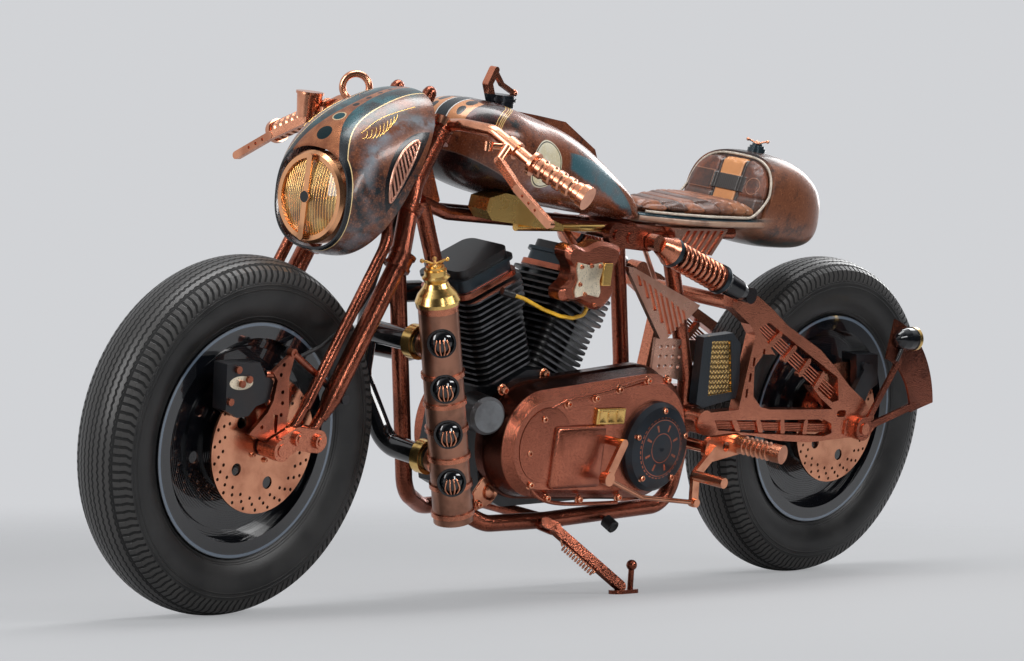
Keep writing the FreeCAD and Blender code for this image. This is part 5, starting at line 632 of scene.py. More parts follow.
def tyre_rubber(name, hub_x):
    """Rubber with a tread and rings round an axle."""
    finish = Finish(name)
    x, y, z = finish.upright()
    ahead = x - hub_x
    up = z - axle_height
    radius = (ahead * ahead + up * up) ** 0.5
    turns = up.angle(ahead) / (2 * math.pi)
    across = abs(y) + abs((turns * zigzags).fraction() - 0.5) * zigzag_depth
    rib = abs((across / rib_pitch).fraction() - 0.5)
    groove = rib.ramp(0.20, 0.10) * abs(y).below(0.044, 0.001)
    tread = radius.ramp(0.319, 0.323)
    lug = abs((turns * shoulder_blocks + radius.ramp(0.305, 0.318) * 0.35).fraction() - 0.5)
    shoulder = abs(y).ramp(0.044, 0.047) * radius.ramp(0.303, 0.306)
    slot = lug.ramp(0.22, 0.12) * shoulder
    edge_groove = (abs(y) - 0.0455).line(0.0016, 0.0006) * tread
    cut = (groove * tread + slot + edge_groove).low(1.0)
    ring = sum((radius - at).line(half, 0.0006) for at, half in sidewall_rings)
    grain = finish.noise(600.0, 2.0)
    dust = finish.noise(12.0, 5.0)
    worn = finish.mix(dust.ramp(0.35, 0.7), rgb(0.007, 0.0069, 0.0069), rgb(0.019, 0.0185, 0.018))
    worn = finish.mix(tread.high(shoulder) * (0.5 + dust * 0.5), worn, rgb(0.040, 0.038, 0.036))
    # The grooves are painted near black: painted shade in the recesses.
    worn = finish.mix(cut, worn, rgb(0.0008, 0.0008, 0.0008))
    height = ring * 0.3 - cut + grain * 0.04
    return finish.paint(Base_Color=worn, Roughness=0.30 + dust * 0.2 + cut * 0.4,
                        Normal=finish.bump(height, 0.0040), Specular_IOR_Level=0.5)


front_rubber = tyre_rubber("front_tyre_rubber", -axle_x)
rear_rubber = tyre_rubber("rear_tyre_rubber", axle_x)
print("tyre rubber ready")

# %% [markdown]
# The headlight's lens is amber glass with upright flutes pressed into it. A thin glass over a bright
# reflector looks like a glossy golden metal from outside, so the lens is mostly metallic, under a coat, with
# the flutes as relief. Each flute is painted bright along its ridge and dark in its hollow, a painted
# highlight and shade, and noise lays bright patches over it.

# %% Fluted lens
lens_finish = Finish("amber_fluted_glass")
x, y, z = lens_finish.upright()
flute_pitch = 0.0062
flute = ((y / flute_pitch) * (2 * math.pi)).sine() * 0.5 + 0.5
glow_patch = lens_finish.noise(22.0, 2.0)
# Each flute's ridge is painted bright and its hollow dark: painted highlight and shade.
lens_finish.colour = lens_finish.mix(flute, rgb(0.20, 0.075, 0.02), rgb(0.80, 0.42, 0.12))
lens_finish.coat(glow_patch.ramp(0.4, 0.6) * 0.5, rgb(0.95, 0.66, 0.25))
amber_glass = lens_finish.paint(Metallic=0.75, Roughness=0.12 + glow_patch * 0.1,
                                Coat_Weight=1.0, Coat_Roughness=0.03, Normal=lens_finish.bump(flute, 0.0016))
print("lens ready")

# %% [markdown]
# The leather is waxed brown hide, paler where it is stretched over the padding and nearly black in the seams.
# Fine pores and creases come from cells and noise, at about a millimetre. The tan strip and the dark strap of
# the back rest are painted by their place on the pad.

# %% Leather
def hide(finish, bright, dark):
    """Gives a finish leather's colour; returns its relief and its slow noise."""
    pores = finish.cells(900.0, "F1")
    creases = finish.noise(160.0, 6.0, 0.65)
    broad = finish.noise(16.0, 5.0, 0.6)
    finish.colour = finish.mix((broad * 0.65 + creases * 0.4).ramp(0.4, 0.66), dark, bright)
    return creases * 0.7 + pores * 0.3, broad


cream_finish = Finish("cream_piping")
height, broad = hide(cream_finish, rgb(0.62, 0.55, 0.45), rgb(0.36, 0.30, 0.24))
cream_leather = cream_finish.paint(Roughness=broad * 0.2 + 0.34, Coat_Weight=0.25,
                                   Coat_Roughness=0.25, Normal=cream_finish.bump(height, 0.0006))

pleat_start = 0.212
pleat_pitch = 0.0385
saddle_finish = Finish("saddle_leather")
x, y, z = saddle_finish.upright()
height, broad = hide(saddle_finish, rgb(0.34, 0.115, 0.045), rgb(0.10, 0.032, 0.016))
pleat = (x - pleat_start - y * y * 1.2) / pleat_pitch
seam = abs(pleat.fraction() - 0.5).ramp(0.44, 0.5)
patch = (pleat / 2.0).fraction().ramp(0.49, 0.51) * x.below(0.40, 0.01)
ribs = (x / 0.0042).fraction().ramp(0.25, 0.6) * patch * abs(y).band(0.012, 0.08, 0.003)
saddle_finish.coat(patch * 0.55, rgb(0.055, 0.025, 0.018))
saddle_finish.coat((seam + ribs * 0.6).low(1.0), rgb(0.012, 0.007, 0.006))
edge = abs(y).ramp(0.055, 0.11) * x.ramp(0.36, 0.46)
saddle_finish.coat(edge * 0.5, rgb(0.42, 0.19, 0.09))
saddle_leather = saddle_finish.paint(Roughness=0.3 + broad * 0.22, Coat_Weight=0.3,
                                     Coat_Roughness=0.22,
                                     Normal=saddle_finish.bump(height * 0.5 - ribs - seam, 0.0011))

strip_middle = -0.006
strap_low = 0.834
strap_high = 0.866
pad_finish = Finish("pad_leather")
x, y, z = pad_finish.upright()
height, broad = hide(pad_finish, rgb(0.22, 0.062, 0.026), rgb(0.05, 0.020, 0.013))
middle = abs(y - strip_middle)
strip = middle.below(0.028, 0.001)
channel = middle.band(0.028, 0.037, 0.001)
strap = z.band(strap_low, strap_high, 0.0012) * middle.below(0.046, 0.002)
pad_finish.coat(strip, pad_finish.mix(broad, rgb(0.50, 0.20, 0.065), rgb(0.68, 0.30, 0.11)))
pad_finish.coat(channel * 0.85, rgb(0.02, 0.012, 0.010))
low_side = z.below(0.826, 0.004) * (1.0 - strip)
pad_finish.coat(low_side * 0.5, rgb(0.03, 0.035, 0.032))
rib = (y / 0.0050).fraction().ramp(0.2, 0.5)
pad_finish.coat(strap, pad_finish.mix(rib, rgb(0.010, 0.008, 0.007), rgb(0.03, 0.022, 0.018)))
from_patch = abs(y - 0.069).high(abs(z - 0.849) + 0.014)
frame_line = (from_patch - 0.033).line(0.0011)
round_line = (pad_finish.oval(y, z, (-0.073, 0.850), (0.017, 0.017)) - 1.0).line(0.07, 0.03)
relief = frame_line.high(round_line)
pad_finish.coat(relief * 0.6, rgb(0.36, 0.17, 0.10))
inner = from_patch.below(0.032, 0.0005)
pad_finish.coat(inner * 0.55, rgb(0.03, 0.017, 0.013))
pad_leather = pad_finish.paint(Roughness=0.3 + broad * 0.24, Coat_Weight=0.3,
                               Coat_Roughness=0.22,
                               Normal=pad_finish.bump(height * 0.5 + relief + strap * 0.9, 0.0011))
print("leather ready")

# %% [markdown]
# Some solids carry two or three metals, as a plated spring does between dark caps. Their finish is laid on in
# coats: each coat has a mask on the upright coordinates, a colour, how metallic it is and how rough. A fine
# grain of noise varies the gloss and gives the surface its relief.

# %% Coats of several metals
class Coats(Finish):
    """A finish laid on in coats, each with its own mask, colour, metal and roughness."""

    def __init__(self, name, tone):
        super().__init__(name)
        self.colour, self.metal, self.rough = tone

    def lay(self, mask, tone):
        """Adds a coat where the mask is 1."""
        colour, metal, rough = tone
        self.coat(mask, colour)
        self.metal = mask * (metal - self.metal) + self.metal
        self.rough = mask * (rough - self.rough) + self.rough

    def done(self, grain=300.0, relief=0.00015, height=0.0):
        """Adds grain and age, and returns the material."""
        speck = self.noise(grain, 3.0)
        self.coat(self.noise(18.0, 4.0).ramp(0.42, 0.7) * 0.45, rgb(0.02, 0.010, 0.008))
        return self.paint(Metallic=self.metal, Roughness=self.rough + speck * 0.14,
                          Coat_Weight=0.15, Coat_Roughness=0.1,
                          Normal=self.bump(speck * 0.5 + height, relief))


def round_axis(x, y, z, foot, way):
    """The distance along an axis from its foot, and the distance from that axis."""
    away = [x - foot[0], y - foot[1], z - foot[2]]
    along = away[0] * way[0] + away[1] * way[1] + away[2] * way[2]
    square = away[0] ** 2.0 + away[1] ** 2.0 + away[2] ** 2.0
    return along, (square - along * along).high(0.0) ** 0.5


black_tone = (rgb(0.004, 0.0045, 0.006), 0.0, 0.10)
soot_tone = (rgb(0.008, 0.008, 0.009), 0.1, 0.34)
slate_tone = (rgb(0.018, 0.033, 0.043), 0.55, 0.24)
copper_tone = (rgb(0.66, 0.24, 0.14), 1.0, 0.20)
red_tone = (rgb(0.42, 0.13, 0.075), 1.0, 0.22)
gilt_tone = (rgb(0.92, 0.60, 0.20), 1.0, 0.16)
ivory_tone = (rgb(0.86, 0.74, 0.55), 0.6, 0.22)
yellow_tone = (rgb(0.90, 0.50, 0.03), 0.0, 0.30)

shock_coats = Coats("shock_absorber", slate_tone)
x, y, z = shock_coats.upright()
shock_top = Vector((0.140, 0.132, 0.740))
shock_way = Vector((0.412, 0.168, 0.638)) - shock_top
shock_long = shock_way.length
shock_way.normalize()
along, across = round_axis(x, abs(y), z, shock_top, shock_way)
in_spring = along.band(shock_long * 0.2035, shock_long * 0.6735, 0.0003)
shock_coats.lay(along.ramp(shock_long * 0.712, shock_long * 0.714), black_tone)
shock_coats.lay(along.below(shock_long * 0.165, 0.0005), copper_tone)
shock_coats.lay(in_spring, black_tone)
shock_coats.lay(in_spring * across.ramp(0.0180, 0.0190), copper_tone)
shock_finish = shock_coats.done()

rocker_coats = Coats("rocker_box", slate_tone)
x, y, z = rocker_coats.upright()
up_bank, along_bank = cylinder_bank(x, z)
rocker_coats.lay(up_bank.below(0.3780, 0.0004), red_tone)
rocker_coats.lay(up_bank.ramp(0.4062, 0.4068), soot_tone)
rocker_finish = rocker_coats.done(grain=700.0, relief=0.0002)
print("shock and rocker box finishes ready")

# %% [markdown]
# The silencer stands upright on the left: a brown satin copper tube with bright bands, glossy black ports
# with lips, a brass crown, and black stubs that end in fluted brass collars. Its own axis leans, so heights
# are taken along it.

# %% Standpipe
pipe_foot = Vector((-0.394, -0.168, 0.197))
pipe_top = Vector((-0.514, -0.168, 0.621))
pipe_way = (pipe_top - pipe_foot).normalized()
port_way = Vector((-0.68, -0.73, 0.0)).normalized()
port_heights = (0.280, 0.375, 0.464, 0.553)


def pipe_at(height):
    """The point of the silencer's axis at a height."""
    return pipe_foot + pipe_way * ((height - pipe_foot.z) / pipe_way.z)


pipe_coats = Coats("standpipe", (rgb(0.40, 0.19, 0.125), 1.0, 0.27))
x, y, z = pipe_coats.upright()
along, out = round_axis(x, y, z, pipe_foot, pipe_way)
pipe_long = (pipe_top - pipe_foot).length
pipe_coats.lay(out.band(0.0394, 0.0432, 0.0004) * y.below(-0.130, 0.002), copper_tone)
for height in port_heights:
    outward, off_axis = round_axis(x, y, z, pipe_at(height), port_way)
    pipe_coats.lay(off_axis.below(0.0284, 0.0003) * outward.ramp(0.010, 0.012), black_tone)
pipe_coats.lay(y.ramp(-0.1285, -0.1275), black_tone)
pipe_coats.lay(y.ramp(-0.1205, -0.1200), gilt_tone)
pipe_coats.lay(along.ramp(pipe_long - 0.010, pipe_long - 0.009), copper_tone)
pipe_coats.lay(along.ramp(pipe_long + 0.004, pipe_long + 0.005), gilt_tone)
pipe_finish = pipe_coats.done(grain=90.0, relief=0.0001)
print("standpipe finish has", len(pipe_coats.tree.nodes), "nodes")

# %% [markdown]
# The clutch cover is slate coloured with plain etched copper rings. The side box is slate too, with a brass
# basket weave sunk into its face. The front caliper is black behind a copper bracket, with a bare ivory
# badge.

# %% Clutch cover, side box, calipers and small parts
clutch_x = 0.178
clutch_z = 0.327
dash_count = 36
spoke_count = 8
derby_coats = Coats("clutch_cover", (rgb(0.016, 0.022, 0.030), 0.5, 0.30))
x, y, z = derby_coats.upright()
reach = ((x - clutch_x) ** 2.0 + (z - clutch_z) ** 2.0) ** 0.5
turns = (z - clutch_z).angle(x - clutch_x) / (2 * math.pi)
etched = (reach - 0.058).line(0.0008, 0.0003) + (reach - 0.030).line(0.0008, 0.0003)
dashes = (turns * dash_count).fraction().ramp(0.35, 0.4) * (reach - 0.0625).line(0.0012, 0.0003)
spokes = abs((turns * spoke_count).fraction() - 0.5).below(0.07, 0.02) * reach.band(0.036, 0.050, 0.001)
derby_coats.lay((etched + dashes + spokes).low(1.0), red_tone)
derby_finish = derby_coats.done()

box_coats = Coats("side_box", (rgb(0.016, 0.022, 0.028), 0.4, 0.30))
x, y, z = box_coats.upright()
weave_step = 0.0105
diagonal = (x + z) / weave_step
other = (x - z) / weave_step
over = ((diagonal * math.pi).sine() * (other * math.pi).sine() * 0.5 + 0.5)
strand = abs(diagonal.fraction() - 0.5).high(abs(other.fraction() - 0.5))
sunk = y.band(-0.1322, -0.1285, 0.0002) * x.band(0.345, 0.452, 0.001) * z.band(0.412, 0.546, 0.001)
gaps = strand.ramp(0.36, 0.44)
box_coats.lay(sunk, gilt_tone)
box_coats.lay(sunk * gaps, black_tone)
box_finish = box_coats.done(relief=0.0012, height=sunk * (over - gaps))

caliper_coats = Coats("front_caliper", (rgb(0.008, 0.008, 0.010), 0.1, 0.30))
x, y, z = caliper_coats.upright()
badge = caliper_coats.oval(x, z, (-0.958, 0.468), (0.030, 0.013)).below(1.0, 0.03)
caliper_coats.lay(y.below(-0.1124, 0.0004), red_tone)
caliper_coats.lay(badge * y.band(-0.1126, -0.1110, 0.0002), ivory_tone)
caliper_finish = caliper_coats.done()

cap_coats = Coats("filler_cap", (rgb(0.010, 0.018, 0.026), 0.5, 0.22))
x, y, z = cap_coats.upright()
cap_coats.lay(z.ramp(1.0125, 1.0130), copper_tone)
cap_finish = cap_coats.done()

lead_coats = Coats("plug_lead", yellow_tone)
x, y, z = lead_coats.upright()
for place in ((-0.238, -0.094, 0.631), (0.002, -0.100, 0.612)):
    reach = ((x - place[0]) ** 2.0 + (y - place[1]) ** 2.0 + (z - place[2]) ** 2.0) ** 0.5
    lead_coats.lay(reach.below(0.0175, 0.0003), soot_tone)
lead_finish = lead_coats.done()

lamp_coats = Coats("indicator", black_tone)
x, y, z = lamp_coats.upright()
lamp_coats.lay(x.band(0.9834, 0.9926, 0.0002), gilt_tone)
lamp_coats.lay(x.ramp(0.9928, 0.9932), (rgb(0.40, 0.10, 0.02), 0.2, 0.12))
lamp_finish = lamp_coats.done()

filter_coats = Coats("oil_filter", soot_tone)
x, y, z = filter_coats.upright()
filter_foot = (-0.262, -0.060)
filter_way = (-0.33, -0.944)
filter_face = (x - filter_foot[0]) * filter_way[0] + (y - filter_foot[1]) * filter_way[1]
filter_coats.lay(filter_face.ramp(0.0655, 0.0660), (rgb(0.20, 0.21, 0.22), 0.7, 0.34))
filter_finish = filter_coats.done()

bezel_coats = Coats("headlight_bezel", (rgb(0.90, 0.44, 0.22), 1.0, 0.14))
x, y, z = bezel_coats.upright()
lamp_z = 0.802
boss_radius = 0.0110
from_middle = (y * y + (z - lamp_z) ** 2.0) ** 0.5
bezel_coats.lay(from_middle.below(boss_radius, 0.0003) * x.below(-0.720, 0.002), black_tone)
bezel_finish = bezel_coats.done(relief=0.00006)

gilt_ivory = Coats("ivory_plate", ivory_tone).done()
print("finishes of several metals ready")

# %% [markdown]
# With the finishes made, each solid of the frame gets its own. Only the material changes: the mesh stays as
# packed.

# %% Dress the solids
def dress(material, *names):
    """Gives solids a finish."""
    for name in names:
        data = nodes[name].data
        data.materials.clear()
        data.materials.append(material)


dress(copper, "frame", "cradle", "fork_rear_legs", "fork_front_legs", "fork_yokes", "side_stand",
      "rear_plate")
dress(rail_copper, "swingarm", "fork_rockers")
dress(case_copper, "cam_cover", "coil_cover")
dress(bright_copper, "handlebar", "grips", "levers", "front_rotor", "rear_rotor", "foot_pegs", "foot_levers",
      "rear_sprocket")
dress(satin_black, "engine_case", "rear_caliper", "air_cleaner")
for material, name in (
    (primary_copper, "primary_cover"), (pink_copper, "side_grilles"), (brass, "tank_tray"),
    (gloss_black, "header_pipes"), (front_enamel, "front_wheel"), (rear_enamel, "rear_wheel"),
    (filter_finish, "oil_filter"), (fin_black, "cylinders"), (rocker_finish, "rocker_boxes"),
    (slate, "pushrod_tubes"), (dark_steel, "chain"), (rubber, "brake_hose"), (shock_finish, "shocks"),
    (pipe_finish, "standpipe"), (derby_finish, "derby_cover"), (box_finish, "side_box"),
    (caliper_finish, "front_caliper"), (cap_finish, "filler_cap"), (lead_finish, "plug_lead"),
    (lamp_finish, "indicators"), (bezel_finish, "headlight_bezel"), (fairing_paint, "fairing"),
    (tank_paint, "tank"), (tail_paint, "tail_cowl"), (front_rubber, "front_tyre"),
    (rear_rubber, "rear_tyre"), (amber_glass, "headlight_lens"),
):
    dress(material, name)
print("dressed", len(nodes))

# %% [markdown]
# The saddle and the back rest are stuffed, so their solids only give the space they fill. A copy of each is
# turned into an even mesh, made a little smaller and blown up as cloth with pressure inside, which crowns it
# and pulls its edges in. No point may move further than a cap, so that the pads stay clear of the pan. Seams
# are sunk afterwards.

# %% Padding
cloth_pressure = 4.0
cloth_frames = 20


def stuffed(name, node, voxel, shrink, cap):
    """A padded copy of a solid, swollen by cloth simulation."""
    bpy.ops.object.select_all(action="DESELECT")
    piece = bpy.data.objects.new(name, nodes[node].data.copy())
    bpy.context.collection.objects.link(piece)
    edit_faces(piece, lambda centre, normal: True)
    bpy.ops.mesh.remove_doubles(threshold=0.00001)
    leave_edit()
    piece.data.remesh_voxel_size = voxel
    bpy.ops.object.voxel_remesh()
    edit_faces(piece, lambda centre, normal: True)
    bpy.ops.transform.shrink_fatten(value=-shrink)
    bpy.ops.mesh.vertices_smooth(factor=0.5, repeat=2)
    leave_edit()
    before = [vertex.co.copy() for vertex in piece.data.vertices]
    cloth = piece.modifiers.new("padding", "CLOTH")
    cloth.settings.use_pressure = True
    cloth.settings.uniform_pressure_force = cloth_pressure
    cloth.settings.effector_weights.gravity = 0.0
    for step in range(1, cloth_frames + 1):
        bpy.context.scene.frame_set(step)
    bpy.ops.object.modifier_apply(modifier=cloth.name)
    bpy.context.scene.frame_set(1)
    furthest = 0.0
    for vertex, home in zip(piece.data.vertices, before):
        move = vertex.co - home
        furthest = max(furthest, move.length)
        if move.length > cap:
            vertex.co = home + move.normalized() * cap
    print(name, "moved up to", round(furthest, 4))
    smooth = piece.modifiers.new("smooth", "SUBSURF")
    smooth.levels = 1
    smooth.render_levels = 1
    bpy.ops.object.modifier_apply(modifier=smooth.name)
    return piece


def sink(piece, depth_at):
    """Moves each point inwards by depth_at(x, y, z) on the upright machine."""
    upright = leaning.inverted()
    piece.data.update()
    normals = [vertex.normal.copy() for vertex in piece.data.vertices]
    for vertex, normal in zip(piece.data.vertices, normals):
        x, y, z = upright @ vertex.co
        vertex.co -= normal * depth_at(x, y, z)


def seam_at(distance, width, depth):
    """The depth of a sewn seam at a distance from it."""
    return depth * math.exp(-(distance / width) ** 2)


saddle_widths = ((0.201, 0.030), (0.250, 0.066), (0.343, 0.100), (0.430, 0.110), (0.479, 0.110))


def saddle_half(x):
    """The saddle's half width at a place along it."""
    for (first, low), (second, high) in zip(saddle_widths, saddle_widths[1:]):
        if x <= second:
            return low + (high - low) * max(0.0, (x - first) / (second - first))
    return saddle_widths[-1][1]


def saddle_seams(x, y, z):
    """How deep the saddle's pleats and side seams lie."""
    if z < 0.792:
        return 0.0
    across = (x - pleat_start - y * y * 1.2) / pleat_pitch
    share = across - math.floor(across)
    nearest = min(share, 1.0 - share) * pleat_pitch
    along = abs(y) - saddle_half(x) * 0.70
    return seam_at(nearest, 0.0035, 0.0032) + seam_at(along, 0.004, 0.0028) - 0.0008


def pad_seams(x, y, z):
    """How deep the back rest's channels lie, with the strap standing out."""
    middle = abs(y - strip_middle)
    return (seam_at(middle - 0.0325, 0.0045, 0.0035) + seam_at(z - 0.826, 0.004, 0.0022) * (middle > 0.034)
            - 0.0012 * (strap_low < z < strap_high and middle < 0.046))


saddle = stuffed("saddle_cushion", "seat", 0.005, 0.0012, 0.006)
sink(saddle, saddle_seams)
named(saddle, "saddle_cushion", saddle_leather, smooth=60)
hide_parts("seat")
back_rest = stuffed("back_rest_cushion", "back_pad", 0.004, 0.0010, 0.006)
sink(back_rest, pad_seams)
named(back_rest, "back_rest_cushion", pad_leather, smooth=60)
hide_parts("back_pad")
print("saddle", len(saddle.data.polygons), "back rest", len(back_rest.data.polygons), "faces")

# %% [markdown]
# A cream piping is sewn round the edge of the saddle and over the back rest. It is one smooth tube: a curve
# through a few points along the pan, and then points on the rest's rounded outline.

# %% Piping
def strands(name, paths, radius, material, body="chassis", closed=False):
    """Smooth tubes along paths of upright points, as one piece."""
    data = bpy.data.curves.new(name, "CURVE")
    data.dimensions = "3D"
    data.resolution_u = 6
    data.bevel_depth = radius
    data.bevel_resolution = 2
    data.use_fill_caps = True
    for points in paths:
        spline = data.splines.new("NURBS")
        spline.points.add(len(points) - 1)
        for point, place in zip(spline.points, points):
            point.co = (*place, 1.0)
        spline.order_u = 3
        spline.use_endpoint_u = not closed
        spline.use_cyclic_u = closed
    carrier = bpy.data.objects.new(name, data)
    bpy.context.collection.objects.link(carrier)
    pick(carrier)
    bpy.ops.object.convert(target="MESH")
    return named(lean_over(bpy.context.object), name, material, body, smooth=80)


pan_height = 0.787
rest_height = 0.1205
rest_half = 0.1130
rest_power = 2 / 3.2
pan_stations = (0.208, 0.23, 0.26, 0.30, 0.345, 0.39, 0.43, 0.465)
half_path = [(x, -(saddle_half(x) + 0.0035), 0.7895) for x in pan_stations]
for step in range(1, 10):
    turn = math.pi / 2 * step / 9
    rise = rest_height * math.sin(turn) ** rest_power
    half_path.append((0.4975 + rise * 0.2937, -rest_half * math.cos(turn) ** rest_power, pan_height + rise))
piping_path = half_path + [(x, -y, z) for x, y, z in reversed(half_path[:-1])]
strands("saddle_piping", [piping_path], 0.0028, cream_leather)
print("piping points", len(piping_path))

# %% [markdown]
# Small round screws hold nearly every cover. One is modelled: a cylinder whose top is inset, lifted and sunk
# again for the key, on a thin washer. It is then copied to all its places, which are given on the upright
# machine.

# %% Screws
up = (0, 0, 1)
left = (0, -1, 0)


def cap_screw(radius, height):
    """A socket screw on its washer, standing on the plane z = 0."""
    head = start("cylinder", vertices=18, radius=radius, depth=height, location=(0, 0, height / 2))
    apply_all(head)
    steps = ((radius * 0.22, height * 0.16, False), (radius * 0.26, height * -0.55, True))
    inset_steps(head, upper, up, steps)
    washer = start("cylinder", vertices=18, radius=radius * 1.38, depth=height * 0.3,
                   location=(0, 0, height * 0.15))
    apply_all(washer)
    inset_steps(washer, upper, up, ((radius * 0.1, height * 0.05, False),))
    pick(head, washer)
    bpy.ops.object.join()
    return bpy.context.object


def screws(name, places, radius, height, body="chassis"):
    """Copper screws at places of the upright machine, all facing left."""
    spots = [Matrix.Translation(place) @ facing(left) for place in places]
    return named(lean_over(copies(cap_screw(radius, height), spots)), name, bright_copper, body)


def ring_of(x, y, z, radius, first):
    """Five places round a point, the first at an angle in degrees."""
    turns = [math.radians(first + 72 * step) for step in range(5)]
    return [(x + radius * math.cos(turn), y, z + radius * math.sin(turn)) for turn in turns]


cover_spots = ((-0.161, -0.158, 0.390), (-0.192, -0.157, 0.322), (-0.178, -0.158, 0.258),
               (-0.118, -0.154, 0.228), (-0.020, -0.154, 0.222), (-0.099, -0.162, 0.420),
               (-0.017, -0.162, 0.430), (0.053, -0.160, 0.446), (0.140, -0.158, 0.462),
               (0.212, -0.149, 0.461), (0.100, -0.153, 0.222))
engine_spots = ((-0.232, -0.1035, 0.440), (-0.093, -0.0835, 0.466), (-0.236, -0.0835, 0.300))
clutch_spots = ring_of(clutch_x, -0.1805, clutch_z, 0.076, 18)
coil_spots = ((-0.107, -0.1610, 0.695), (-0.078, -0.1610, 0.697), (-0.106, -0.1610, 0.660),
              (-0.052, -0.1610, 0.696), (-0.088, -0.1610, 0.640), (-0.050, -0.1575, 0.618))
screws("cover_screws", cover_spots, 0.0070, 0.009)
screws("engine_screws", engine_spots, 0.0085, 0.012)
screws("clutch_cover_screws", clutch_spots, 0.0062, 0.008)
screws("coil_plate_screws", coil_spots, 0.0035, 0.005)
for end, hub_x, face_y in (("front", -axle_x, -0.0955), ("rear", axle_x, -0.0895)):
    hub_spots = ring_of(hub_x, face_y, axle_height, 0.030, 0)
    screws(end + "_hub_screws", hub_spots, 0.0042, 0.006, end + "_wheel_assembly")
print("screws placed")

# %% [markdown]
# The primary cover has a raised panel, a bead along its rim and a brass plate with three plain fields. A
# round plate closes the sunk dish first. A panel is a flat box whose outer face is inset and moved, with
# bevelled edges. The plates with a free outline start as a flat face of many corners, which is then extruded.

# %% Raised panels and plates
def panel(name, centre, size, material, bevel, lift=0.0, inset=0.0):
    """A bevelled plate facing left, at a place of the upright machine; its outer face may be lifted."""
    piece = start("cube", size=1.0, location=centre)
    piece.scale = size
    apply_all(piece)
    inset_steps(piece, leftward, left, ((inset or min(size[0], size[2]) * 0.08, lift, False),))
    bevelled(piece, bevel, 4)
    return named(lean_over(piece), name, material, smooth=60)


def cut_plate(name, outline, y, thickness, material, bevel):
    """A flat plate facing left, cut along an outline given by its x and z."""
    piece = start("circle", vertices=len(outline), radius=0.05, fill_type="NGON")
    apply_all(piece)
    for vertex, (x, z) in zip(piece.data.vertices, outline):
        vertex.co = (x, y, z)
    edit_faces(piece, lambda centre, normal: True)
    bpy.ops.mesh.extrude_region_move(TRANSFORM_OT_translate={"value": (0, thickness, 0)})
    bpy.ops.mesh.select_all(action="SELECT")
    bpy.ops.mesh.normals_make_consistent(inside=False)
    leave_edit()
    bevelled(piece, bevel, 3)
    return named(lean_over(piece), name, material, smooth=60)


def round_plate(name, vertices, radius, depth, centre, material, steps):
    """A disc facing left, whose outer face is inset in steps."""
    piece = start("cylinder", vertices=vertices, radius=radius, depth=depth, location=centre,
                  rotation=(math.pi / 2, 0, 0))
    apply_all(piece)
    inset_steps(piece, leftward, left, steps)
    return named(lean_over(piece), name, material)


plate_face = 0.0035
round_plate("cover_dish_plate", 64, 0.0755, 0.010, (-0.148, -0.1592, 0.338), case_copper,
            ((0.004, 0.0006, False),))
panel("cover_panel", (-0.052, -0.1635, 0.312), (0.150, 0.020, 0.128), case_copper, 0.022, 0.003, 0.026)
panel("brass_plate", (0.033, -0.1650, 0.392), (0.086, 0.010, 0.033), brass, plate_face)
for step in range(3):
    place = (0.033 + (step - 1) * 0.026, -0.1702, 0.392)
    panel("brass_field_" + str(step + 1), place, (0.022, 0.003, 0.024), brass, 0.0015, -0.001)
bead = [(0.150, -0.1585, 0.468), (0.053, -0.1600, 0.448), (-0.017, -0.1620, 0.436), (-0.099, -0.1620, 0.428),
        (-0.160, -0.1585, 0.404), (-0.196, -0.1575, 0.360), (-0.198, -0.1580, 0.290),
        (-0.165, -0.1570, 0.240), (-0.110, -0.1545, 0.218), (-0.020, -0.1545, 0.211), (0.100, -0.1545, 0.211)]
strands("cover_bead", [bead], 0.0042, case_copper)
coil_outline = ((-0.117, 0.704), (-0.080, 0.698), (-0.044, 0.704), (-0.040, 0.692), (-0.047, 0.668),
                (-0.040, 0.644), (-0.044, 0.633), (-0.080, 0.639), (-0.113, 0.633), (-0.118, 0.646),
                (-0.111, 0.668), (-0.119, 0.692))
cut_plate("coil_plate", coil_outline, -0.1620, 0.006, gilt_ivory, 0.0018)
bracket_y = -0.0935
bracket_outline = ((-0.217, 0.332), (-0.194, 0.326), (-0.186, 0.280), (-0.178, 0.240), (-0.208, 0.207),
                   (-0.250, 0.194), (-0.263, 0.231), (-0.240, 0.261), (-0.224, 0.304))
bracket_spots = ((-0.206, bracket_y, 0.316), (-0.192, bracket_y, 0.256), (-0.248, bracket_y, 0.208))
cut_plate("engine_bracket", bracket_outline, bracket_y, 0.006, bright_copper, 0.0015)
round_plate("engine_bracket_boss", 40, 0.017, 0.005, (-0.217, bracket_y - 0.002, 0.232), bright_copper,
            ((0.005, -0.0030, False), (0.003, 0.0020, False)))
screws("engine_bracket_screws", bracket_spots, 0.0062, 0.008)
panel("coil_block", (-0.030, -0.1600, 0.680), (0.026, 0.012, 0.046), brass, plate_face)
print("panels placed")

# %% [markdown]
# On the fairing, slats close the openings behind the headlight on both sides and gold strands form a feather.
# All lie on the painted skin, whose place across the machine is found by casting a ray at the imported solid.

# %% Louvres and feather
def on_fairing(x, z, way, out):
    """The upright point just outside the fairing's skin, seen from one side."""
    upright = leaning.inverted()
    origin = leaning @ Vector((x, way * 0.5, z))
    aim = leaning.to_3x3() @ Vector((0, -way, 0))
    hit, place = nodes["fairing"].ray_cast(origin, aim)[:2]
    if not hit:
        return None
    point = upright @ place
    point.y += way * out
    return point


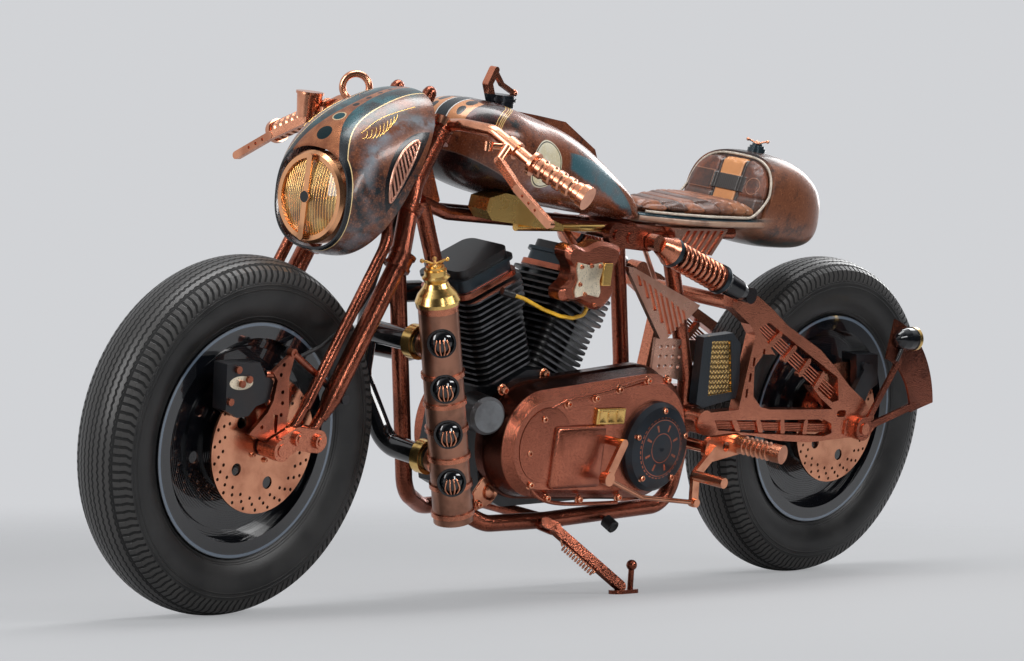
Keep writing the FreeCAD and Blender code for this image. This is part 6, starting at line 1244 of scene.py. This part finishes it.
arc_radius = 0.0985
chord_foot = Vector((-0.638, 0.808))
chord_top = Vector((-0.570, 0.930))
slat_way = Vector((-0.30, 0.954)).normalized()
slat_count = 11
stem = [(-0.680, 0.935), (-0.655, 0.953), (-0.625, 0.968), (-0.590, 0.980), (-0.552, 0.990)]
for way, label in ((-1, "left"), (1, "right")):
    slats = []
    for step in range(slat_count):
        low = chord_foot.lerp(chord_top, (step + 0.7) / (slat_count + 0.4))
        gap = low - arc_centre
        lean_in = gap.dot(slat_way)
        reach = math.sqrt(max(0.0, lean_in ** 2 - gap.dot(gap) + arc_radius ** 2)) - lean_in
        high = low + slat_way * max(0.004, reach - 0.006)
        path = [on_fairing(*low.lerp(high, share), way, 0.0012) for share in (0.0, 0.5, 1.0)]
        slats.append([point for point in path if point])
    slats = [path for path in slats if len(path) == 3]
    strands("fairing_slats_" + label, slats, 0.0026, pink_copper, "steering")
    rim = [chord_foot.lerp(chord_top, share) for share in (0.0, 0.25, 0.5, 0.75, 1.0)]
    for turn_deg in (110, 122, 135, 150, 165, 180, 192):
        turn = math.radians(turn_deg)
        rim.append(arc_centre + Vector((math.cos(turn), math.sin(turn))) * (arc_radius - 0.003))
    frame_path = [on_fairing(*spot, way, 0.0008) for spot in rim]
    frame_path = [point for point in frame_path if point]
    strands("fairing_slat_frame_" + label, [frame_path], 0.0030, pink_copper, "steering", closed=True)
    feather = [[on_fairing(x, z, way, 0.0003) for x, z in stem]]
    for step in range(9):
        share = 0.10 + 0.085 * step
        spot = Vector((-0.680, 0.935)).lerp(Vector((-0.575, 0.985)), share)
        tip = spot + Vector((-0.012 - 0.020 * share, -0.010 - 0.014 * math.sin(share * math.pi)))
        bow = spot.lerp(tip, 0.5) + Vector((0.002, -0.005))
        feather.append([on_fairing(*place, way, 0.0003) for place in (spot, bow, tip)])
    feather = [path for path in feather if all(path)]
    strands("fairing_feather_" + label, feather, 0.0009, brass, "steering")
print("louvres have", slat_count, "slats a side")

# %% [markdown]
# Each port of the silencer is closed by a glossy black dome behind a claw of copper bars. Its brass crown
# ends in a cap with four arms and knobs, and the tail wears a small cap of the same kind.

# %% Port domes, claws and caps
port_side = pipe_way.cross(port_way).normalized()
domes = []
claws = []
for height in port_heights:
    mouth = pipe_at(height) + port_way * 0.036
    domes.append(Matrix.Translation(mouth + pipe_way * 0.003) @ facing(port_way))
    for step in range(4):
        across = (step - 1.5) * 0.0085
        bow = abs(step - 1.5) * 0.002
        claws.append([mouth + port_side * (across * 0.35) + pipe_way * -0.027 + port_way * 0.009,
                      mouth + port_side * (across * 1.15) + pipe_way * -0.017 + port_way * (0.015 - bow),
                      mouth + port_side * across + pipe_way * -0.001 + port_way * (0.018 - bow),
                      mouth + port_side * (across * 0.7) + pipe_way * 0.007 + port_way * 0.012])
dome = start("uv_sphere", segments=32, ring_count=20, radius=0.0236, location=(0, 0, 0))
dome.scale = (1.0, 1.0, 0.62)
apply_all(dome)
named(lean_over(copies(dome, domes)), "port_domes", gloss_black, smooth=60)
strands("port_claws", claws, 0.0019, bright_copper)


def cap_with_knobs(name, foot, way, size, material, collar):
    """A round cap on a collar, with four arms that end in knobs."""
    base = start("cylinder", vertices=32, radius=size, depth=size * 0.5, location=(0, 0, size * 0.25))
    apply_all(base)
    inset_steps(base, upper, up, ((size * 0.18, size * 0.28, True), (size * 0.25, size * 0.22, True)))
    turn = Matrix.Translation(foot) @ facing(way)
    named(lean_over(copies(base, [turn])), name + "_collar", collar)
    arms = []
    knobs = []
    for step in range(4):
        angle = math.radians(45 + 90 * step)
        out = Vector((math.cos(angle), math.sin(angle), 0))
        tip_height = size * (1.1 + 0.25 * (step % 2))
        path = (Vector((0, 0, size * 0.9)), out * size * 0.55 + Vector((0, 0, size * 1.25)),
                out * size * 1.1 + Vector((0, 0, tip_height)))
        arms.append([turn @ place for place in path])
        knobs.append(Matrix.Translation(arms[-1][-1]))
    strands(name + "_arms", arms, size * 0.11, material)
    knob = start("uv_sphere", segments=16, ring_count=10, radius=size * 0.2)
    named(lean_over(copies(knob, knobs)), name + "_knobs", material, smooth=60)


cap_with_knobs("silencer_crown", pipe_top + pipe_way * 0.062, pipe_way, 0.022, brass, brass)
cap_with_knobs("tail_cap", Vector((0.580, -0.004, 0.9125)), Vector((0.05, 0, 1)), 0.019, bright_copper, slate)
print("caps placed")

# %% [markdown]
# A coil spring pulls the side stand open and shut, so it rides with the stand: one helix along a line beside
# the leg, with a hook at each end. A rubber stop sits on its stud under the rail.

# %% Stand spring and rubber stop
def coil(start_at, end_at, radius, turns):
    """Points of a helix between two places of the upright machine."""
    way = (end_at - start_at).normalized()
    first = way.orthogonal().normalized()
    second = way.cross(first)
    points = []
    for step in range(turns * 8 + 1):
        turn = math.radians(45 * step)
        along = start_at.lerp(end_at, step / (turns * 8))
        points.append(along + first * (radius * math.cos(turn)) + second * (radius * math.sin(turn)))
    return points


spring_turns = 12
stand_pivot = Vector((-0.050, -0.128, 0.158))
stand_foot = Vector((0.084, -0.206, 0.050))
beside = Vector((-0.010, -0.006, -0.016))
spring_start = stand_pivot.lerp(stand_foot, 0.16) + beside
spring_end = stand_pivot.lerp(stand_foot, 0.62) + beside
spring_path = coil(spring_start, spring_end, 0.0072, spring_turns)
strands("stand_spring", [spring_path], 0.0017, bright_copper, "side_stand_assembly")
ends = ((spring_start, stand_pivot.lerp(stand_foot, 0.08)), (spring_end, stand_pivot.lerp(stand_foot, 0.70)))
hooks = [[first, first.lerp(last, 0.5), last] for first, last in ends]
strands("stand_spring_hooks", hooks, 0.0022, bright_copper, "side_stand_assembly")
stop_way = Vector((0, -0.92, -0.39)).normalized()
stop = start("cylinder", vertices=32, radius=0.0135, depth=0.024, location=(0, 0, 0.012))
apply_all(stop)
inset_steps(stop, upper, up, ((0.003, 0.002, False), (0.004, -0.002, False)))
stop_at = Matrix.Translation(Vector((0.118, -0.118, 0.165))) @ facing(stop_way)
named(lean_over(copies(stop, [stop_at])), "rubber_stop", rubber)
print("stand spring turns", spring_turns)

# %% [markdown]
# The motorcycle stands on a pale studio floor. The floor is lit like everything else, so that it keeps the
# shadows, and it fades into the plain backdrop further out. The backdrop is the world itself as the camera
# sees it. Reflections find it dark towards one side, and the light that falls on the object is a little
# dimmer.

# %% Studio
world = bpy.data.worlds.new("studio")
bpy.context.scene.world = world
world.use_nodes = True
world.node_tree.nodes.clear()
sky = Sheet(world.node_tree)
dark_way = (-0.10, -0.94, -0.33)
camera_ray, glossy_ray, clear_ray = [sky.node("LightPath", {}, {}, "Is " + kind + " Ray")
                                     for kind in ("Camera", "Glossy", "Transmission")]
glow = sky.node("Background", {}, {"Color": rgb(0.46, 0.47, 0.50), "Strength": 0.55})
outwards = sky.node("TexCoord", {}, {}, "Generated")
towards = sky.node("VectorMath", {"operation": "DOT_PRODUCT"}, {0: outwards, 1: dark_way}, "Value")
darker = towards.ramp(-0.10, 0.40) * (1.0 - camera_ray)
tone = sky.mix(darker, rgb(0.640, 0.650, 0.672), rgb(0.030, 0.030, 0.034))
shown = sky.node("Background", {}, {"Color": tone})
both = sky.node("MixShader", {}, {0: camera_ray.high(glossy_ray).high(clear_ray), 1: glow, 2: shown})
result = world.node_tree.nodes.new("ShaderNodeOutputWorld")
world.node_tree.links.new(both.socket, result.inputs[0])

floor_finish = Finish("studio_floor")
floor_x, floor_y = floor_finish.plain()[:2]
far = ((floor_x * floor_x + floor_y * floor_y) ** 0.5).ramp(1.5, 4.0)
floor_finish.paint(Base_Color=rgb(0.46, 0.465, 0.475), Roughness=0.9, Specular_IOR_Level=0.1)
seen_floor = floor_finish.node("LightPath", {}, {}, "Is Camera Ray")
own_tone = floor_finish.node("Emission", {}, {"Color": rgb(0.600, 0.610, 0.625)})
lit = Wire(floor_finish, floor_finish.shader.outputs[0])
clear = floor_finish.node("BsdfTransparent", {}, {})
floor_mix = floor_finish.node("MixShader", {}, {0: seen_floor * 0.5, 1: lit, 2: own_tone})
floor_mix = floor_finish.node("MixShader", {}, {0: far, 1: floor_mix, 2: clear})
floor_finish.tree.links.new(floor_mix.socket, floor_finish.tree.nodes["Material Output"].inputs[0])
floor = start("plane", size=12.0, location=(0, 0, 0))
apply_all(floor)
floor.name = "floor"
floor.data.materials.append(floor_finish.material)
print("floor", floor.dimensions[:])


def softbox(name, place, aim, width, height, power):
    """A rectangular studio lamp turned towards a point."""
    lamp = bpy.data.lights.new(name, "AREA")
    lamp.shape = "RECTANGLE"
    lamp.size = width
    lamp.size_y = height
    lamp.energy = power
    holder = bpy.data.objects.new(name, lamp)
    bpy.context.collection.objects.link(holder)
    way = Vector(aim) - Vector(place)
    holder.matrix_world = Matrix.Translation(place) @ way.to_track_quat("-Z", "Y").to_matrix().to_4x4()


softbox("top_softbox", (0.0, 0.1, 3.2), (0, 0, 0.4), 3.4, 0.9, 70)
softbox("left_softbox", (-4.2, 0.4, 2.0), (-0.3, 0, 0.5), 1.2, 2.4, 75)
softbox("front_strip", (0.9, -3.8, 2.6), (0.1, 0, 0.5), 3.0, 0.7, 85)
softbox("low_strip", (-2.2, -4.4, 0.9), (0.0, 0, 0.5), 0.5, 1.5, 35)
softbox("rear_softbox", (3.6, 1.0, 1.8), (0.4, 0, 0.5), 1.2, 2.2, 45)

# %% [markdown]
# The camera stands low and far to the left front, as in a catalogue shot with a long lens. Its place and lens
# come from fitting both wheels' rims to the photograph.

# %% Camera
camera = bpy.data.cameras.new("camera")
camera.lens = 160.54
camera.sensor_width = 36.0
holder = bpy.data.objects.new("camera", camera)
bpy.context.collection.objects.link(holder)
yaw = 0.8316
pitch = -0.0131
aim = Vector((math.cos(pitch) * math.sin(yaw), math.cos(pitch) * math.cos(yaw), math.sin(pitch)))
holder.matrix_world = (Matrix.Translation((-6.8617, -6.1026, 0.6514))
                       @ aim.to_track_quat("-Z", "Y").to_matrix().to_4x4())
bpy.context.scene.camera = holder
bpy.context.scene.view_settings.view_transform = "Standard"
print("camera looks along", aim[:])
